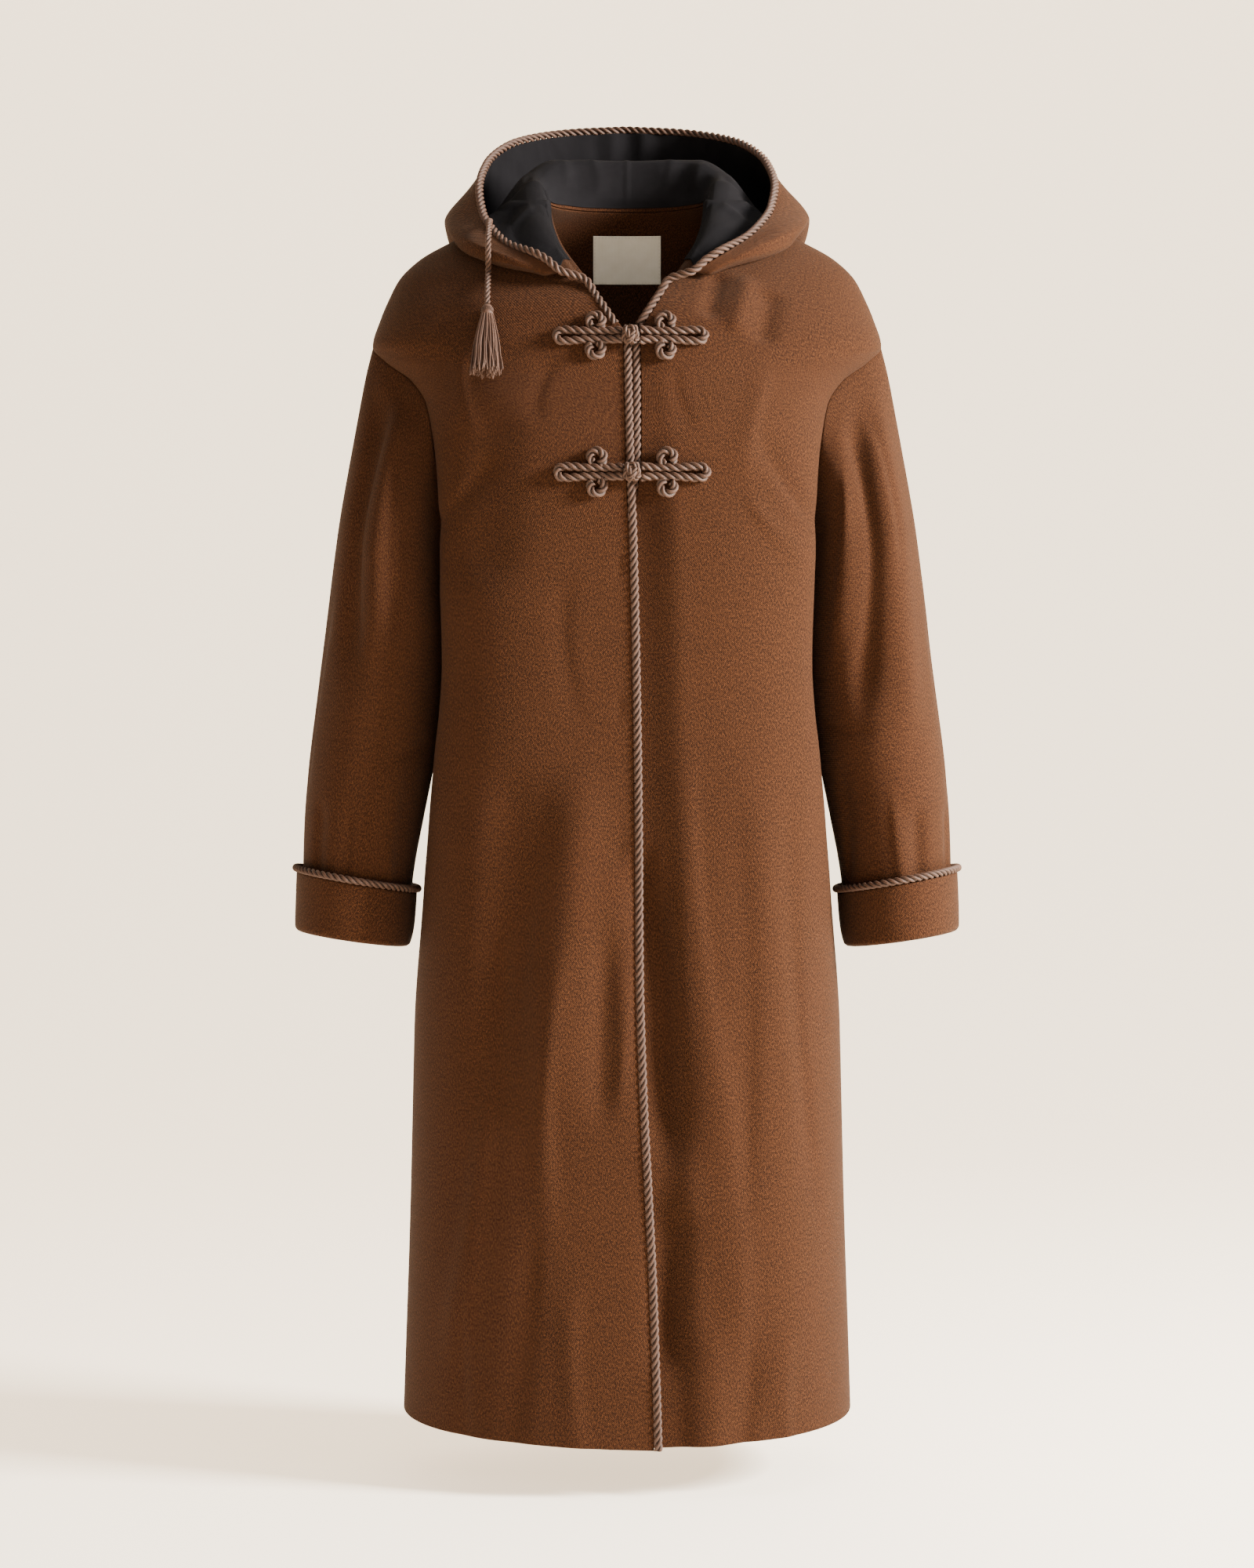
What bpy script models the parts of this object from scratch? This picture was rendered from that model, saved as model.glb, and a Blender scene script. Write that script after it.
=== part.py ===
# Hooded coat in wool twill, as it hangs filled out: two overlapping fronts, a back, dropped
# sleeves with turn-up cuffs, and a hood laid open over the shoulders with its own lining.
# Cord trims the hood, the front edges and the cuffs, two knotted frogs close the fronts, and
# a tassel hangs from the hood's rim.
# Metres, +Z up. The front faces -Y and the wearer's left is +X. The origin is the middle of
# the neck opening, where the coat hangs on its wearer.

import math

import bpy
import numpy as np

# Driving sizes
CLOTH = 0.0020
LINING = 0.0010
LINING_GAP = 0.0005
LINING_START = 0.35
LINING_ENDS = 2
LABEL = 0.0010
SEAM_GAP = 0.0003
EDGE_CORD = 0.0038
CUFF_CORD = 0.0032
FROG_CORD = 0.0036
TASSEL_CORD = 0.0030
NECK_TOP = 0.060
SHOULDER_TIP = -0.087
ARMPIT = -0.262
SIDE_HEM = -1.1235
BACK_HEM_DROP = 0.006
ARMHOLE_FORWARD = 0.056
HOLLOW_REACH = 0.78

# The body's level sections. The middle is how far back the side seam lies.
BODY_SECTIONS = (
    ("height", "half_width", "front", "back", "squareness", "hollow", "middle"),
    (-1.170, 0.2200, 0.164, 0.160, 2.30, 0.000, 0.000),
    (-1.120, 0.2185, 0.163, 0.159, 2.30, 0.000, 0.000),
    (-0.924, 0.2120, 0.156, 0.153, 2.45, 0.000, 0.000),
    (-0.751, 0.2080, 0.148, 0.147, 2.60, 0.000, 0.000),
    (-0.620, 0.2040, 0.141, 0.142, 2.80, 0.006, 0.000),
    (-0.549, 0.2035, 0.138, 0.140, 2.95, 0.014, 0.000),
    (-0.490, 0.2010, 0.135, 0.138, 3.10, 0.022, 0.000),
    (-0.440, 0.1965, 0.133, 0.137, 3.20, 0.028, 0.000),
    (-0.405, 0.1945, 0.132, 0.136, 3.25, 0.030, 0.000),
    (-0.330, 0.1975, 0.130, 0.136, 3.25, 0.034, 0.000),
    (-0.262, 0.2000, 0.128, 0.136, 3.20, 0.034, 0.000),
    (-0.200, 0.2025, 0.125, 0.135, 3.00, 0.024, 0.000),
    (-0.150, 0.2060, 0.121, 0.132, 2.80, 0.010, 0.002),
    (-0.125, 0.2170, 0.118, 0.129, 2.60, 0.004, 0.003),
    (-0.105, 0.2370, 0.115, 0.125, 2.40, 0.000, 0.004),
    (-0.087, 0.2500, 0.112, 0.121, 2.25, 0.000, 0.005),
    (-0.060, 0.2425, 0.105, 0.115, 2.15, 0.000, 0.007),
    (-0.040, 0.2345, 0.094, 0.109, 2.10, 0.000, 0.009),
    (-0.020, 0.2245, 0.080, 0.101, 2.05, 0.000, 0.011),
    (0.000, 0.2050, 0.062, 0.092, 2.00, 0.000, 0.014),
    (0.018, 0.1750, 0.046, 0.083, 2.00, 0.000, 0.018),
    (0.034, 0.1420, 0.032, 0.075, 2.00, 0.000, 0.022),
    (0.048, 0.1120, 0.018, 0.066, 2.00, 0.000, 0.026),
    (0.060, 0.0780, 0.006, 0.055, 2.00, 0.000, 0.030),
    (0.075, 0.0500, 0.004, 0.040, 2.00, 0.000, 0.034),
)

# Soft folds of the body, each a line on its face with a half width and a height, negative
# where it is a trough. Positions are as seen from the front, +X to the right.
BODY_FOLDS = (
    ("face", "top_x", "top_z", "low_x", "low_z", "half_width", "height"),
    ("front", 0.014, -0.560, 0.052, -0.900, 0.020, -0.0095),
    ("front", 0.052, -0.900, 0.034, -1.080, 0.020, -0.0060),
    ("front", 0.120, -0.420, 0.160, -1.200, 0.040, 0.0060),
    ("front", 0.080, -1.010, 0.082, -1.200, 0.014, 0.0035),
    ("front", -0.038, -0.480, -0.072, -0.850, 0.024, 0.0070),
    ("front", -0.108, -0.480, -0.128, -0.860, 0.024, -0.0060),
    ("front", -0.112, -0.700, -0.168, -1.080, 0.013, 0.0050),
    ("front", -0.020, -0.640, -0.024, -0.850, 0.012, -0.0040),
    ("front", -0.132, -0.140, -0.140, -0.340, 0.034, -0.0055),
    ("front", 0.090, -0.020, 0.076, -0.075, 0.010, -0.0045),
    ("front", 0.118, -0.024, 0.100, -0.090, 0.010, 0.0040),
    ("front", 0.140, -0.040, 0.128, -0.100, 0.011, -0.0045),
    ("back", 0.060, -0.420, 0.094, -1.200, 0.026, 0.0065),
    ("back", 0.006, -0.500, 0.012, -1.200, 0.024, -0.0065),
    ("back", -0.062, -0.440, -0.104, -1.200, 0.026, 0.0070),
    ("back", 0.140, -0.180, 0.150, -0.420, 0.024, -0.0050),
    ("back", -0.138, -0.190, -0.152, -0.440, 0.024, -0.0050),
)
FOLD_FADE = 0.22

# Rows of a panel: heights on its outer edge, and on the front's centre edge
EDGE_ROWS = (
    ("outer", "centre"),
    (-1.1235, -1.138), (-1.060, -1.070), (-0.980, -0.988), (-0.890, -0.896), (-0.800, -0.804),
    (-0.710, -0.712), (-0.625, -0.627), (-0.549, -0.550), (-0.475, -0.476), (-0.405, -0.406),
    (-0.330, -0.336), (-0.262, -0.276), (-0.225, -0.244), (-0.190, -0.216), (-0.158, -0.192),
    (-0.128, -0.171), (-0.105, -0.154), (-0.087, -0.138), (-0.045, -0.124), (-0.008, -0.112),
    (0.022, -0.101), (0.044, -0.091), (0.060, -0.083),
)
FRONT_COLUMNS = 15
BACK_COLUMNS = 27
NECK_BACK_STEPS = 13
NECK_FRONT_STEPS = 8
NECK_SHOULDER = 0.46

# The neck seam and neck edge on a front, from its shoulder to its centre
NECKLINE = (
    ("along", "x", "z"),
    (0.00, 0.0780, 0.0600),
    (0.22, 0.0755, 0.0350),
    (0.45, 0.0690, 0.0105),
    (0.70, 0.0480, -0.0270),
    (1.00, 0.0130, -0.0830),
)
HOOD_FRONT_END = 0.70

# The two centre edges: the upper front laps over the lower one below the second frog
UPPER_FRONT_EDGE = (
    ("height", "x"),
    (-1.170, 0.0262), (-1.068, 0.0232), (-0.990, 0.0205), (-0.895, 0.0158), (-0.800, 0.0110),
    (-0.690, 0.0078), (-0.560, 0.0070), (-0.420, 0.0050), (-0.290, 0.0020), (-0.215, -0.0008),
    (-0.150, -0.0024), (-0.095, -0.0034), (-0.060, -0.0040),
)
LOWER_FRONT_EDGE = (
    ("height", "x", "tucked"),
    (-1.170, -0.0120, 0.0090), (-0.800, -0.0140, 0.0090), (-0.450, -0.0180, 0.0090),
    (-0.340, -0.0150, 0.0092), (-0.276, -0.0010, 0.0098), (-0.244, 0.0085, 0.0092),
    (-0.216, 0.0128, 0.0060), (-0.192, 0.0134, 0.0040), (-0.150, 0.0134, 0.0036),
    (-0.095, 0.0130, 0.0034), (-0.060, 0.0130, 0.0030),
)
TUCK_NEAR = 0.008
TUCK_FAR = 0.050

# Sleeve rings, from the armhole to the hem: outer and inner side in the coat's own plane
SLEEVE_RINGS = (
    ("ring", "outer_x", "outer_z", "inner_x", "inner_z", "half_depth", "freed"),
    (0.0, 0.2500, -0.087, 0.1660, -0.262, 0.062, 0.00),
    (1.0, 0.2600, -0.132, 0.1730, -0.290, 0.071, 0.35),
    (2.0, 0.2710, -0.190, 0.1750, -0.325, 0.076, 0.75),
    (3.0, 0.2830, -0.265, 0.1765, -0.372, 0.077, 1.00),
    (4.0, 0.2940, -0.350, 0.1800, -0.425, 0.075, 1.00),
    (5.0, 0.3040, -0.430, 0.1875, -0.485, 0.073, 1.00),
    (6.0, 0.3130, -0.505, 0.1990, -0.545, 0.070, 1.00),
    (7.0, 0.3170, -0.565, 0.2085, -0.595, 0.068, 1.00),
    (8.0, 0.3185, -0.636, 0.2160, -0.655, 0.066, 1.00),
)
SLEEVE_ROWS = (0.0, 0.14, 0.40, 0.8, 1.3, 1.9, 2.5, 3.1, 3.7, 4.4, 5.1, 5.8, 6.5, 7.2, 8.0)

SLEEVE_CLEARANCE = 0.0042

# Sleeve folds run down the sleeve at an angle round it: 0 outer side, 90 front, 180 inner
SLEEVE_FOLDS = (
    ("side", "top_ring", "top_turn", "low_ring", "low_turn", "half_turn", "height"),
    (1, 0.4, 60.0, 5.0, 112.0, 16.0, -0.0065),
    (1, 0.6, 40.0, 5.6, 66.0, 15.0, 0.0045),
    (1, 6.2, 70.0, 8.4, 74.0, 9.0, -0.0040),
    (1, 6.4, 24.0, 8.4, 26.0, 8.0, -0.0035),
    (1, 1.0, 250.0, 5.5, 262.0, 18.0, -0.0055),
    (-1, 0.5, 58.0, 4.2, 88.0, 13.0, 0.0060),
    (-1, 0.5, 34.0, 4.8, 62.0, 13.0, -0.0055),
    (-1, 6.2, 50.0, 8.4, 50.0, 8.0, -0.0035),
    (-1, 1.0, 256.0, 5.5, 250.0, 18.0, -0.0055),
)

# The cuff's turned cloth, from the seam inside to the free top edge outside: height above
# the fold and how far the layer stands off the sleeve's own line
CUFF_TURN = (
    ("height", "stand_off"),
    (0.0221, -0.0010), (0.0050, -0.0010), (0.0012, 0.0002), (0.0000, 0.0024),
    (0.0014, 0.0044), (0.0060, 0.0056), (0.0320, 0.0060), (0.0580, 0.0060),
)
CUFF_RINGS = (
    ("height", "outer_x", "outer_z", "inner_x", "inner_z", "half_depth"),
    (0.0000, 0.3195, -0.6585, 0.2200, -0.6735, 0.0655),
    (0.0225, 0.3186, -0.6363, 0.2161, -0.6553, 0.0660),
    (0.0620, 0.3172, -0.5985, 0.2130, -0.6170, 0.0665),
)
CUFF_ROUND = 24
CUFF_CORD_OUT = 0.0016

# The hood's sections, from the middle of the back (0) to the end of its seam at the front (1).
# Out and up are measured from the neck seam towards the rim.
HOOD_SECTIONS = (
    ("round", "rise_out", "rise_up", "roll_out", "roll_up", "pit_out", "pit_up",
     "low_out", "low_up", "high_out", "high_up", "rim_x", "rim_y", "rim_z"),
    (0.00, 0.0020, 0.048, 0.014, 0.050, 0.050, -0.120, 0.100, -0.122, 0.122, -0.090,
     0.0000, 0.188, 0.161),
    (0.12, 0.0030, 0.048, 0.018, 0.050, 0.052, -0.112, 0.102, -0.114, 0.124, -0.084,
     0.0600, 0.178, 0.156),
    (0.25, 0.0120, 0.046, 0.030, 0.049, 0.062, -0.060, 0.104, -0.076, 0.124, -0.052,
     0.1150, 0.136, 0.138),
    (0.36, 0.0130, 0.029, 0.031, 0.032, 0.063, -0.018, 0.098, -0.047, 0.116, -0.028,
     0.1420, 0.085, 0.108),
    (0.48, 0.0100, 0.018, 0.024, 0.018, 0.056, -0.010, 0.088, -0.025, 0.104, -0.010,
     0.1490, 0.038, 0.079),
    (0.62, 0.0080, 0.012, 0.020, 0.012, 0.050, -0.006, 0.082, -0.019, 0.097, -0.005,
     0.1440, -0.002, 0.049),
    (0.75, 0.0060, 0.008, 0.016, 0.008, 0.036, -0.008, 0.064, -0.027, 0.074, -0.012,
     0.1230, -0.050, 0.016),
    (0.88, 0.0040, 0.002, 0.010, 0.000, 0.021, -0.011, 0.034, -0.0255, 0.040, -0.0215,
     0.0830, -0.082, -0.014),
    (0.94, 0.0028, 0.0006, 0.006, -0.001, 0.011, -0.005, 0.016, -0.0095, 0.0205, -0.0115,
     0.0665, -0.0838, -0.0238),
    (1.00, 0.0016, -0.001, 0.0032, -0.0019, 0.0048, -0.0028, 0.0066, -0.0039, 0.0088, -0.0052,
     0.0485, -0.0845, -0.0335),
)
HOOD_DROOP = (
    ("round", "drop"),
    (0.00, 0.000), (0.36, 0.000), (0.60, 0.006), (0.75, 0.007), (0.88, 0.001), (1.00, 0.000),
)
HOOD_ROWS = (0.0, 0.4, 1.0, 1.5, 2.0, 2.5, 3.0, 3.6, 4.0, 4.5, 5.0, 5.4, 6.0)
HOOD_CLEARANCE = 0.0050
HOOD_SLOPE = 0.7
HOOD_END_LIFT = 0.0012

# The rim cord below the hood: its place along the neck edge, inward past it and off the cloth
NECK_CORD = (
    ("along", "inward", "off"),
    (0.985, 0.0041, -0.0010), (0.930, 0.0041, -0.0010), (0.870, 0.0041, -0.0010),
    (0.815, 0.0042, -0.0006), (0.785, 0.0036, 0.0030), (0.750, 0.0008, 0.0056),
)
EDGE_CORD_TOP = -0.104

# Frogs: the knot's place, and the shape of one half measured outwards from the knot
FROG_KNOTS = (("name", "x", "z"), ("upper", 0.0034, -0.0905), ("lower", 0.0048, -0.2220))
FROG_REACH = 0.0745
FROG_ARM = 0.0042
FROG_SLOT = 0.0052
FROG_CURL_OUT = 0.0337
FROG_CURL_UP = 0.0137
FROG_CURL_RADIUS = 0.0072
KNOT_HALF = (0.0086, 0.0072, 0.0100)
KNOT_LIFT = 0.0112
FROG_NECK_LIFT = 0.0034

# Tassel: the cord's route down from the rim, then the head and its strands
TASSEL_X = -0.1335
TASSEL_HEAD_Z = -0.0580
TASSEL_SKIRT = 0.071
TASSEL_STRANDS_ACROSS = 6
TASSEL_STRANDS_DEEP = 5
TASSEL_CORD_STEPS = 9
TASSEL_CORD_RISE = 0.0020
TASSEL_LIFT_HEIGHTS = (-0.140, -0.090, -0.060, -0.030)
TASSEL_LIFTS = (0.0053, 0.0064, 0.0066, 0.0036)
TASSEL_STRAND = (
    ("run", "spread", "girth"),
    (0.00, 1.00, 0.78), (0.30, 1.75, 0.74), (0.65, 2.35, 0.72), (1.00, 2.60, 0.66),
)

# Label inside the back of the neck
LABEL_HALF_WIDTH = 0.0345
LABEL_TOP = 0.0385
LABEL_FOOT = -0.0085


def column(table, name, at):
    """Reads one named column of a table smoothly at the first column's values `at`."""
    rows = np.array(table[1:], dtype=float)
    keys = rows[:, 0]
    values = rows[:, table[0].index(name)]
    at = np.clip(np.asarray(at, dtype=float), keys[0], keys[-1])
    step = np.diff(keys)
    slope = np.diff(values) / step
    tangent = np.zeros(len(keys))
    same = slope[:-1] * slope[1:] > 0
    total = np.where(same, slope[:-1] + slope[1:], 1.0)
    tangent[1:-1] = np.where(same, 2 * slope[:-1] * slope[1:] / total, 0.0)
    tangent[0] = slope[0]
    tangent[-1] = slope[-1]
    index = np.clip(np.searchsorted(keys, at, side="right") - 1, 0, len(step) - 1)
    width = step[index]
    t = (at - keys[index]) / width
    return (
        values[index] * (2 * t**3 - 3 * t**2 + 1)
        + width * tangent[index] * (t**3 - 2 * t**2 + t)
        + values[index + 1] * (3 * t**2 - 2 * t**3)
        + width * tangent[index + 1] * (t**3 - t**2)
    )


def unit(vectors):
    """Vectors of length one."""
    length = np.linalg.norm(vectors, axis=-1, keepdims=True)
    return vectors / np.maximum(length, 1e-12)


def ease(t):
    """Soft step from 0 to 1."""
    t = np.clip(t, 0.0, 1.0)
    return t * t * (3.0 - 2.0 * t)


def even(points, count):
    """Fractions that divide a dense line of points into equal lengths."""
    lengths = np.linalg.norm(np.diff(points, axis=0), axis=1)
    run = np.concatenate(([0.0], np.cumsum(lengths)))
    return np.interp(np.linspace(0.0, run[-1], count), run, np.linspace(0.0, 1.0, len(points)))


# The body's form


def body_form(turn, height):
    """The body without folds. Turn is 0 at the front, pi/2 at +X and pi at the back."""
    turn, height = np.broadcast_arrays(np.asarray(turn, float), np.asarray(height, float))
    half = column(BODY_SECTIONS, "half_width", height)
    power = 2.0 / column(BODY_SECTIONS, "squareness", height)
    middle = column(BODY_SECTIONS, "middle", height)
    sine = np.sin(turn)
    cosine = np.cos(turn)
    front = column(BODY_SECTIONS, "front", height)
    back = column(BODY_SECTIONS, "back", height)
    depth = np.where(cosine > 0, front, back)
    x = half * np.sign(sine) * np.abs(sine) ** power
    y = -depth * np.sign(cosine) * np.abs(cosine) ** power
    reach = np.clip(1.0 - (y / (HOLLOW_REACH * depth)) ** 2, 0.0, None)
    x = x - np.sign(sine) * column(BODY_SECTIONS, "hollow", height) * reach**2
    return np.stack([x, y + middle, height], axis=-1)


def body_normal(turn, height):
    """Outward direction of the body's form."""
    small = 0.002
    across = body_form(turn + small, height) - body_form(turn - small, height)
    upward = body_form(turn, height + small) - body_form(turn, height - small)
    return unit(np.cross(across, upward))


def fold_height(points, turn):
    """Height of the body's folds at points on its form."""
    total = np.zeros(points.shape[:-1])
    facing_front = np.cos(turn) > 0
    for face, top_x, top_z, low_x, low_z, half_width, height in BODY_FOLDS[1:]:
        line = np.array([low_x - top_x, low_z - top_z])
        length = np.hypot(*line)
        line = line / length
        offset_x = points[..., 0] - top_x
        offset_z = points[..., 2] - top_z
        along = (offset_x * line[0] + offset_z * line[1]) / length
        aside = offset_x * line[1] - offset_z * line[0]
        fade = ease(along / FOLD_FADE) * ease((1.0 - along) / FOLD_FADE)
        on_face = facing_front if face == "front" else ~facing_front
        total += np.where(on_face, height * np.exp(-((aside / half_width) ** 2)) * fade, 0.0)
    return total


def body(turn, height, lift=0.0):
    """The body's outer cloth, with its folds, moved out by lift."""
    turn, height = np.broadcast_arrays(np.asarray(turn, float), np.asarray(height, float))
    points = body_form(turn, height)
    raised = fold_height(points, turn) + lift
    return points + body_normal(turn, height) * raised[..., None]


def front_turn(x, height):
    """Turn of the front's form at a sideways place."""
    half = column(BODY_SECTIONS, "half_width", height)
    square = column(BODY_SECTIONS, "squareness", height)
    return np.sign(x) * np.arcsin(np.clip(np.abs(x) / half, 0.0, 1.0) ** (square / 2.0))


def seam_turn(height, side, face):
    """Turn of a panel's outer edge on one face: side seam, armhole and shoulder seam."""
    share = np.clip((height - ARMPIT) / (SHOULDER_TIP - ARMPIT), 0.0, 1.0)
    forward = ARMHOLE_FORWARD * np.sin(math.pi * share) ** 0.75
    forward = np.maximum(forward, SEAM_GAP * 0.6)
    depth_name = "front" if face == "front" else "back"
    depth = column(BODY_SECTIONS, depth_name, height)
    square = column(BODY_SECTIONS, "squareness", height)
    away = np.arccos(np.clip(forward / depth, 0.0, 1.0) ** (square / 2.0))
    return side * (away if face == "front" else math.pi - away)


def neckline(along, side):
    """Turn and height of a front's neck edge, from the shoulder (0) to the centre (1)."""
    x = column(NECKLINE, "x", along)
    z = column(NECKLINE, "z", along)
    return side * front_turn(x, z), z


# Meshes


def material(name, colour, roughness):
    """A plain finish."""
    made = bpy.data.materials.new(name)
    made.use_nodes = True
    shader = made.node_tree.nodes["Principled BSDF"]
    shader.inputs["Base Color"].default_value = (*colour, 1.0)
    shader.inputs["Roughness"].default_value = roughness
    shader.inputs["Metallic"].default_value = 0.0
    return made


def add_mesh(name, points, faces, finish):
    """A mesh object in the scene, with its finish."""
    mesh = bpy.data.meshes.new(name)
    mesh.from_pydata([tuple(p) for p in points], [], faces)
    mesh.validate()
    mesh.materials.append(finish)
    mesh.shade_smooth()
    made = bpy.data.objects.new(name, mesh)
    bpy.context.collection.objects.link(made)
    return made


def grid_normal(grid, closed):
    """Directions square to a grid of points, from its own neighbours."""
    if closed:
        along = np.roll(grid, -1, axis=1) - np.roll(grid, 1, axis=1)
    else:
        along = np.gradient(grid, axis=1)
    return unit(np.cross(along, np.gradient(grid, axis=0)))


def add_wall(name, outer, inner, finish, closed=False):
    """A cloth wall between an outer and an inner grid. Rows go up, columns go round."""
    rows, columns = outer.shape[:2]
    points = np.concatenate([outer.reshape(-1, 3), inner.reshape(-1, 3)])
    inside = rows * columns
    faces = []

    def at(row, col):
        return row * columns + col % columns

    def add_strip(a, b, c, d):
        faces.extend([(a, b, c), (a, c, d)])

    last = columns if closed else columns - 1
    top = rows - 1
    end = columns - 1
    for row in range(top):
        for col in range(last):
            a, b = at(row, col), at(row, col + 1)
            c, d = at(row + 1, col + 1), at(row + 1, col)
            faces.extend([(a, b, c), (a, c, d)])
            faces.extend([(a + inside, c + inside, b + inside),
                          (a + inside, d + inside, c + inside)])
    for col in range(last):
        add_strip(at(0, col), at(0, col) + inside, at(0, col + 1) + inside, at(0, col + 1))
        add_strip(at(top, col), at(top, col + 1),
                  at(top, col + 1) + inside, at(top, col) + inside)
    for row in range(0 if closed else top):
        add_strip(at(row, 0), at(row + 1, 0), at(row + 1, 0) + inside, at(row, 0) + inside)
        add_strip(at(row, end), at(row, end) + inside,
                  at(row + 1, end) + inside, at(row + 1, end))
    return add_mesh(name, points, faces, finish)


def tube(path, radius, sides, cyclic=False):
    """Points and faces of a round cord along a path."""
    path = np.asarray(path, float)
    count = len(path)
    if cyclic:
        tangent = unit(np.roll(path, -1, axis=0) - np.roll(path, 1, axis=0))
    else:
        tangent = unit(np.gradient(path, axis=0))
    across = unit(np.cross(tangent[0], (0.0, 1.0, 0.123)))
    points = []
    faces = []
    for index in range(count):
        across = unit(across - tangent[index] * np.dot(across, tangent[index]))
        other = np.cross(tangent[index], across)
        for side in range(sides):
            angle = 2 * math.pi * side / sides
            spoke = math.cos(angle) * across + math.sin(angle) * other
            points.append(path[index] + radius * spoke)
    for index in range(count if cyclic else count - 1):
        here = index * sides
        there = (index + 1) % count * sides
        for side in range(sides):
            after = (side + 1) % sides
            faces.append((here + side, here + after, there + after, there + side))
    if not cyclic:
        faces.append(tuple(range(sides - 1, -1, -1)))
        faces.append(tuple(range((count - 1) * sides, count * sides)))
    return points, faces


def add_tube(name, path, radius, sides, finish, cyclic=False):
    """A sewn-down cord as its own object."""
    points, faces = tube(path, radius, sides, cyclic)
    return add_mesh(name, points, faces, finish)


def smooth_path(points, count):
    """A smooth line through a few points, in equal steps."""
    points = np.asarray(points, float)
    padded = np.vstack([2 * points[0] - points[1], points, 2 * points[-1] - points[-2]])
    dense = []
    for index in range(1, len(padded) - 2):
        a, b, c, d = padded[index - 1:index + 3]
        for t in np.linspace(0.0, 1.0, 24, endpoint=False):
            dense.append(0.5 * (2 * b + (c - a) * t + (2 * a - 5 * b + 4 * c - d) * t**2
                                + (3 * b - a - 3 * c + d) * t**3))
    dense.append(points[-1])
    dense = np.array(dense)
    shares = even(dense, count) * (len(dense) - 1)
    whole = np.minimum(shares.astype(int), len(dense) - 2)
    rest = (shares - whole)[:, None]
    return dense[whole] * (1 - rest) + dense[whole + 1] * rest


# Front and back panels


def panel_row(start, end, start_height, end_height, count, bow=None):
    """Turns and heights of one row of a panel, at equal steps along the cloth."""
    share = np.linspace(0.0, 1.0, 160)
    turn = start + (end - start) * share
    height = start_height + (end_height - start_height) * share
    if bow is not None:
        turn, height = bow(share, turn, height)
    steps = even(body_form(turn, height), count)
    return np.interp(steps, share, turn), np.interp(steps, share, height)


def front_edge(height, side):
    """Sideways place of a front's centre edge. The wearer's right front laps over."""
    table = UPPER_FRONT_EDGE if side < 0 else LOWER_FRONT_EDGE
    return column(table, "x", height)


def tuck(points, side):
    """How far the lower front lies back under the upper one."""
    if side < 0:
        return np.zeros(points.shape[:-1])
    height = points[..., 2]
    deep = column(LOWER_FRONT_EDGE, "tucked", height)
    beyond = points[..., 0] - column(UPPER_FRONT_EDGE, "x", height)
    return deep * ease((TUCK_FAR - beyond) / (TUCK_FAR - TUCK_NEAR))


def front_cloth(turn, height, side, lift=0.0):
    """A front's outer cloth, with the lower front tucked back."""
    points = body(turn, height, lift)
    return points - body_normal(turn, height) * tuck(points, side)[..., None]


def neck_shares():
    """Places of the hood's columns along the neck seam, from one front end to the other."""
    front = np.linspace(1.0, NECK_SHOULDER, NECK_FRONT_STEPS + 1)
    back = np.linspace(NECK_SHOULDER, -NECK_SHOULDER, NECK_BACK_STEPS + 1)
    return np.concatenate([front, back[1:-1], -front[::-1]])


def neck_seam(share):
    """The hood's seam on the neck edge. Share is 0 at the back, 1 and -1 at the front ends."""
    side = np.where(share < 0, -1.0, 1.0)
    size = np.abs(share)
    back_turn = math.pi - side * (math.pi / 2) * np.minimum(size / NECK_SHOULDER, 1.0)
    past = np.clip((size - NECK_SHOULDER) / (1 - NECK_SHOULDER), 0.0, 1.0)
    front_turns, front_height = neckline(HOOD_FRONT_END * past, side)
    on_back = size <= NECK_SHOULDER
    turn = np.where(on_back, back_turn, front_turns)
    height = np.where(on_back, NECK_TOP, front_height)
    return turn, height


def neck_edge(share):
    """Outer points and thickness direction of the neck edge."""
    turn, height = neck_seam(share)
    points = body(turn, height)
    return points, neck_mitre(points, body_normal(turn, height))


def front_neck_row(side):
    """The front's neck edge: the hood's seam first, then the bare edge down to the centre."""
    front = side * np.linspace(1.0, NECK_SHOULDER, NECK_FRONT_STEPS + 1)
    turn, height = neck_seam(front)
    bare = FRONT_COLUMNS - len(front)
    along = np.linspace(1.0, HOOD_FRONT_END, bare + 1)[:-1]
    bare_turn, bare_height = neckline(along, side)
    return np.concatenate([bare_turn, turn]), np.concatenate([bare_height, height])


def front_grid(side):
    """Turns and heights of a front's rows, from the hem to the neck."""
    rows = len(EDGE_ROWS) - 1
    tip_row = [row[0] for row in EDGE_ROWS[1:]].index(SHOULDER_TIP)
    turns = np.zeros((rows, FRONT_COLUMNS))
    heights = np.zeros((rows, FRONT_COLUMNS))
    for row, (outer, centre) in enumerate(EDGE_ROWS[1:]):
        weight = max(0.0, (row - tip_row) / (rows - 1 - tip_row)) ** 1.3
        start = float(front_turn(front_edge(centre, side), centre))
        end = float(seam_turn(outer, side, "front"))

        def neck_bow(share, turn, height, weight=weight):
            neck_turn, neck_height = neckline(1.0 - share, side)
            chord_turn = neck_turn[0] + (neck_turn[-1] - neck_turn[0]) * share
            chord_height = neck_height[0] + (neck_height[-1] - neck_height[0]) * share
            return (turn + weight * (neck_turn - chord_turn),
                    height + weight * (neck_height - chord_height))

        bow = neck_bow if weight > 0 else None
        turns[row], heights[row] = panel_row(start, end, centre, outer, FRONT_COLUMNS, bow)
    turns[-1], heights[-1] = front_neck_row(side)
    turns[-1, -1] = end
    return turns, heights


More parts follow.
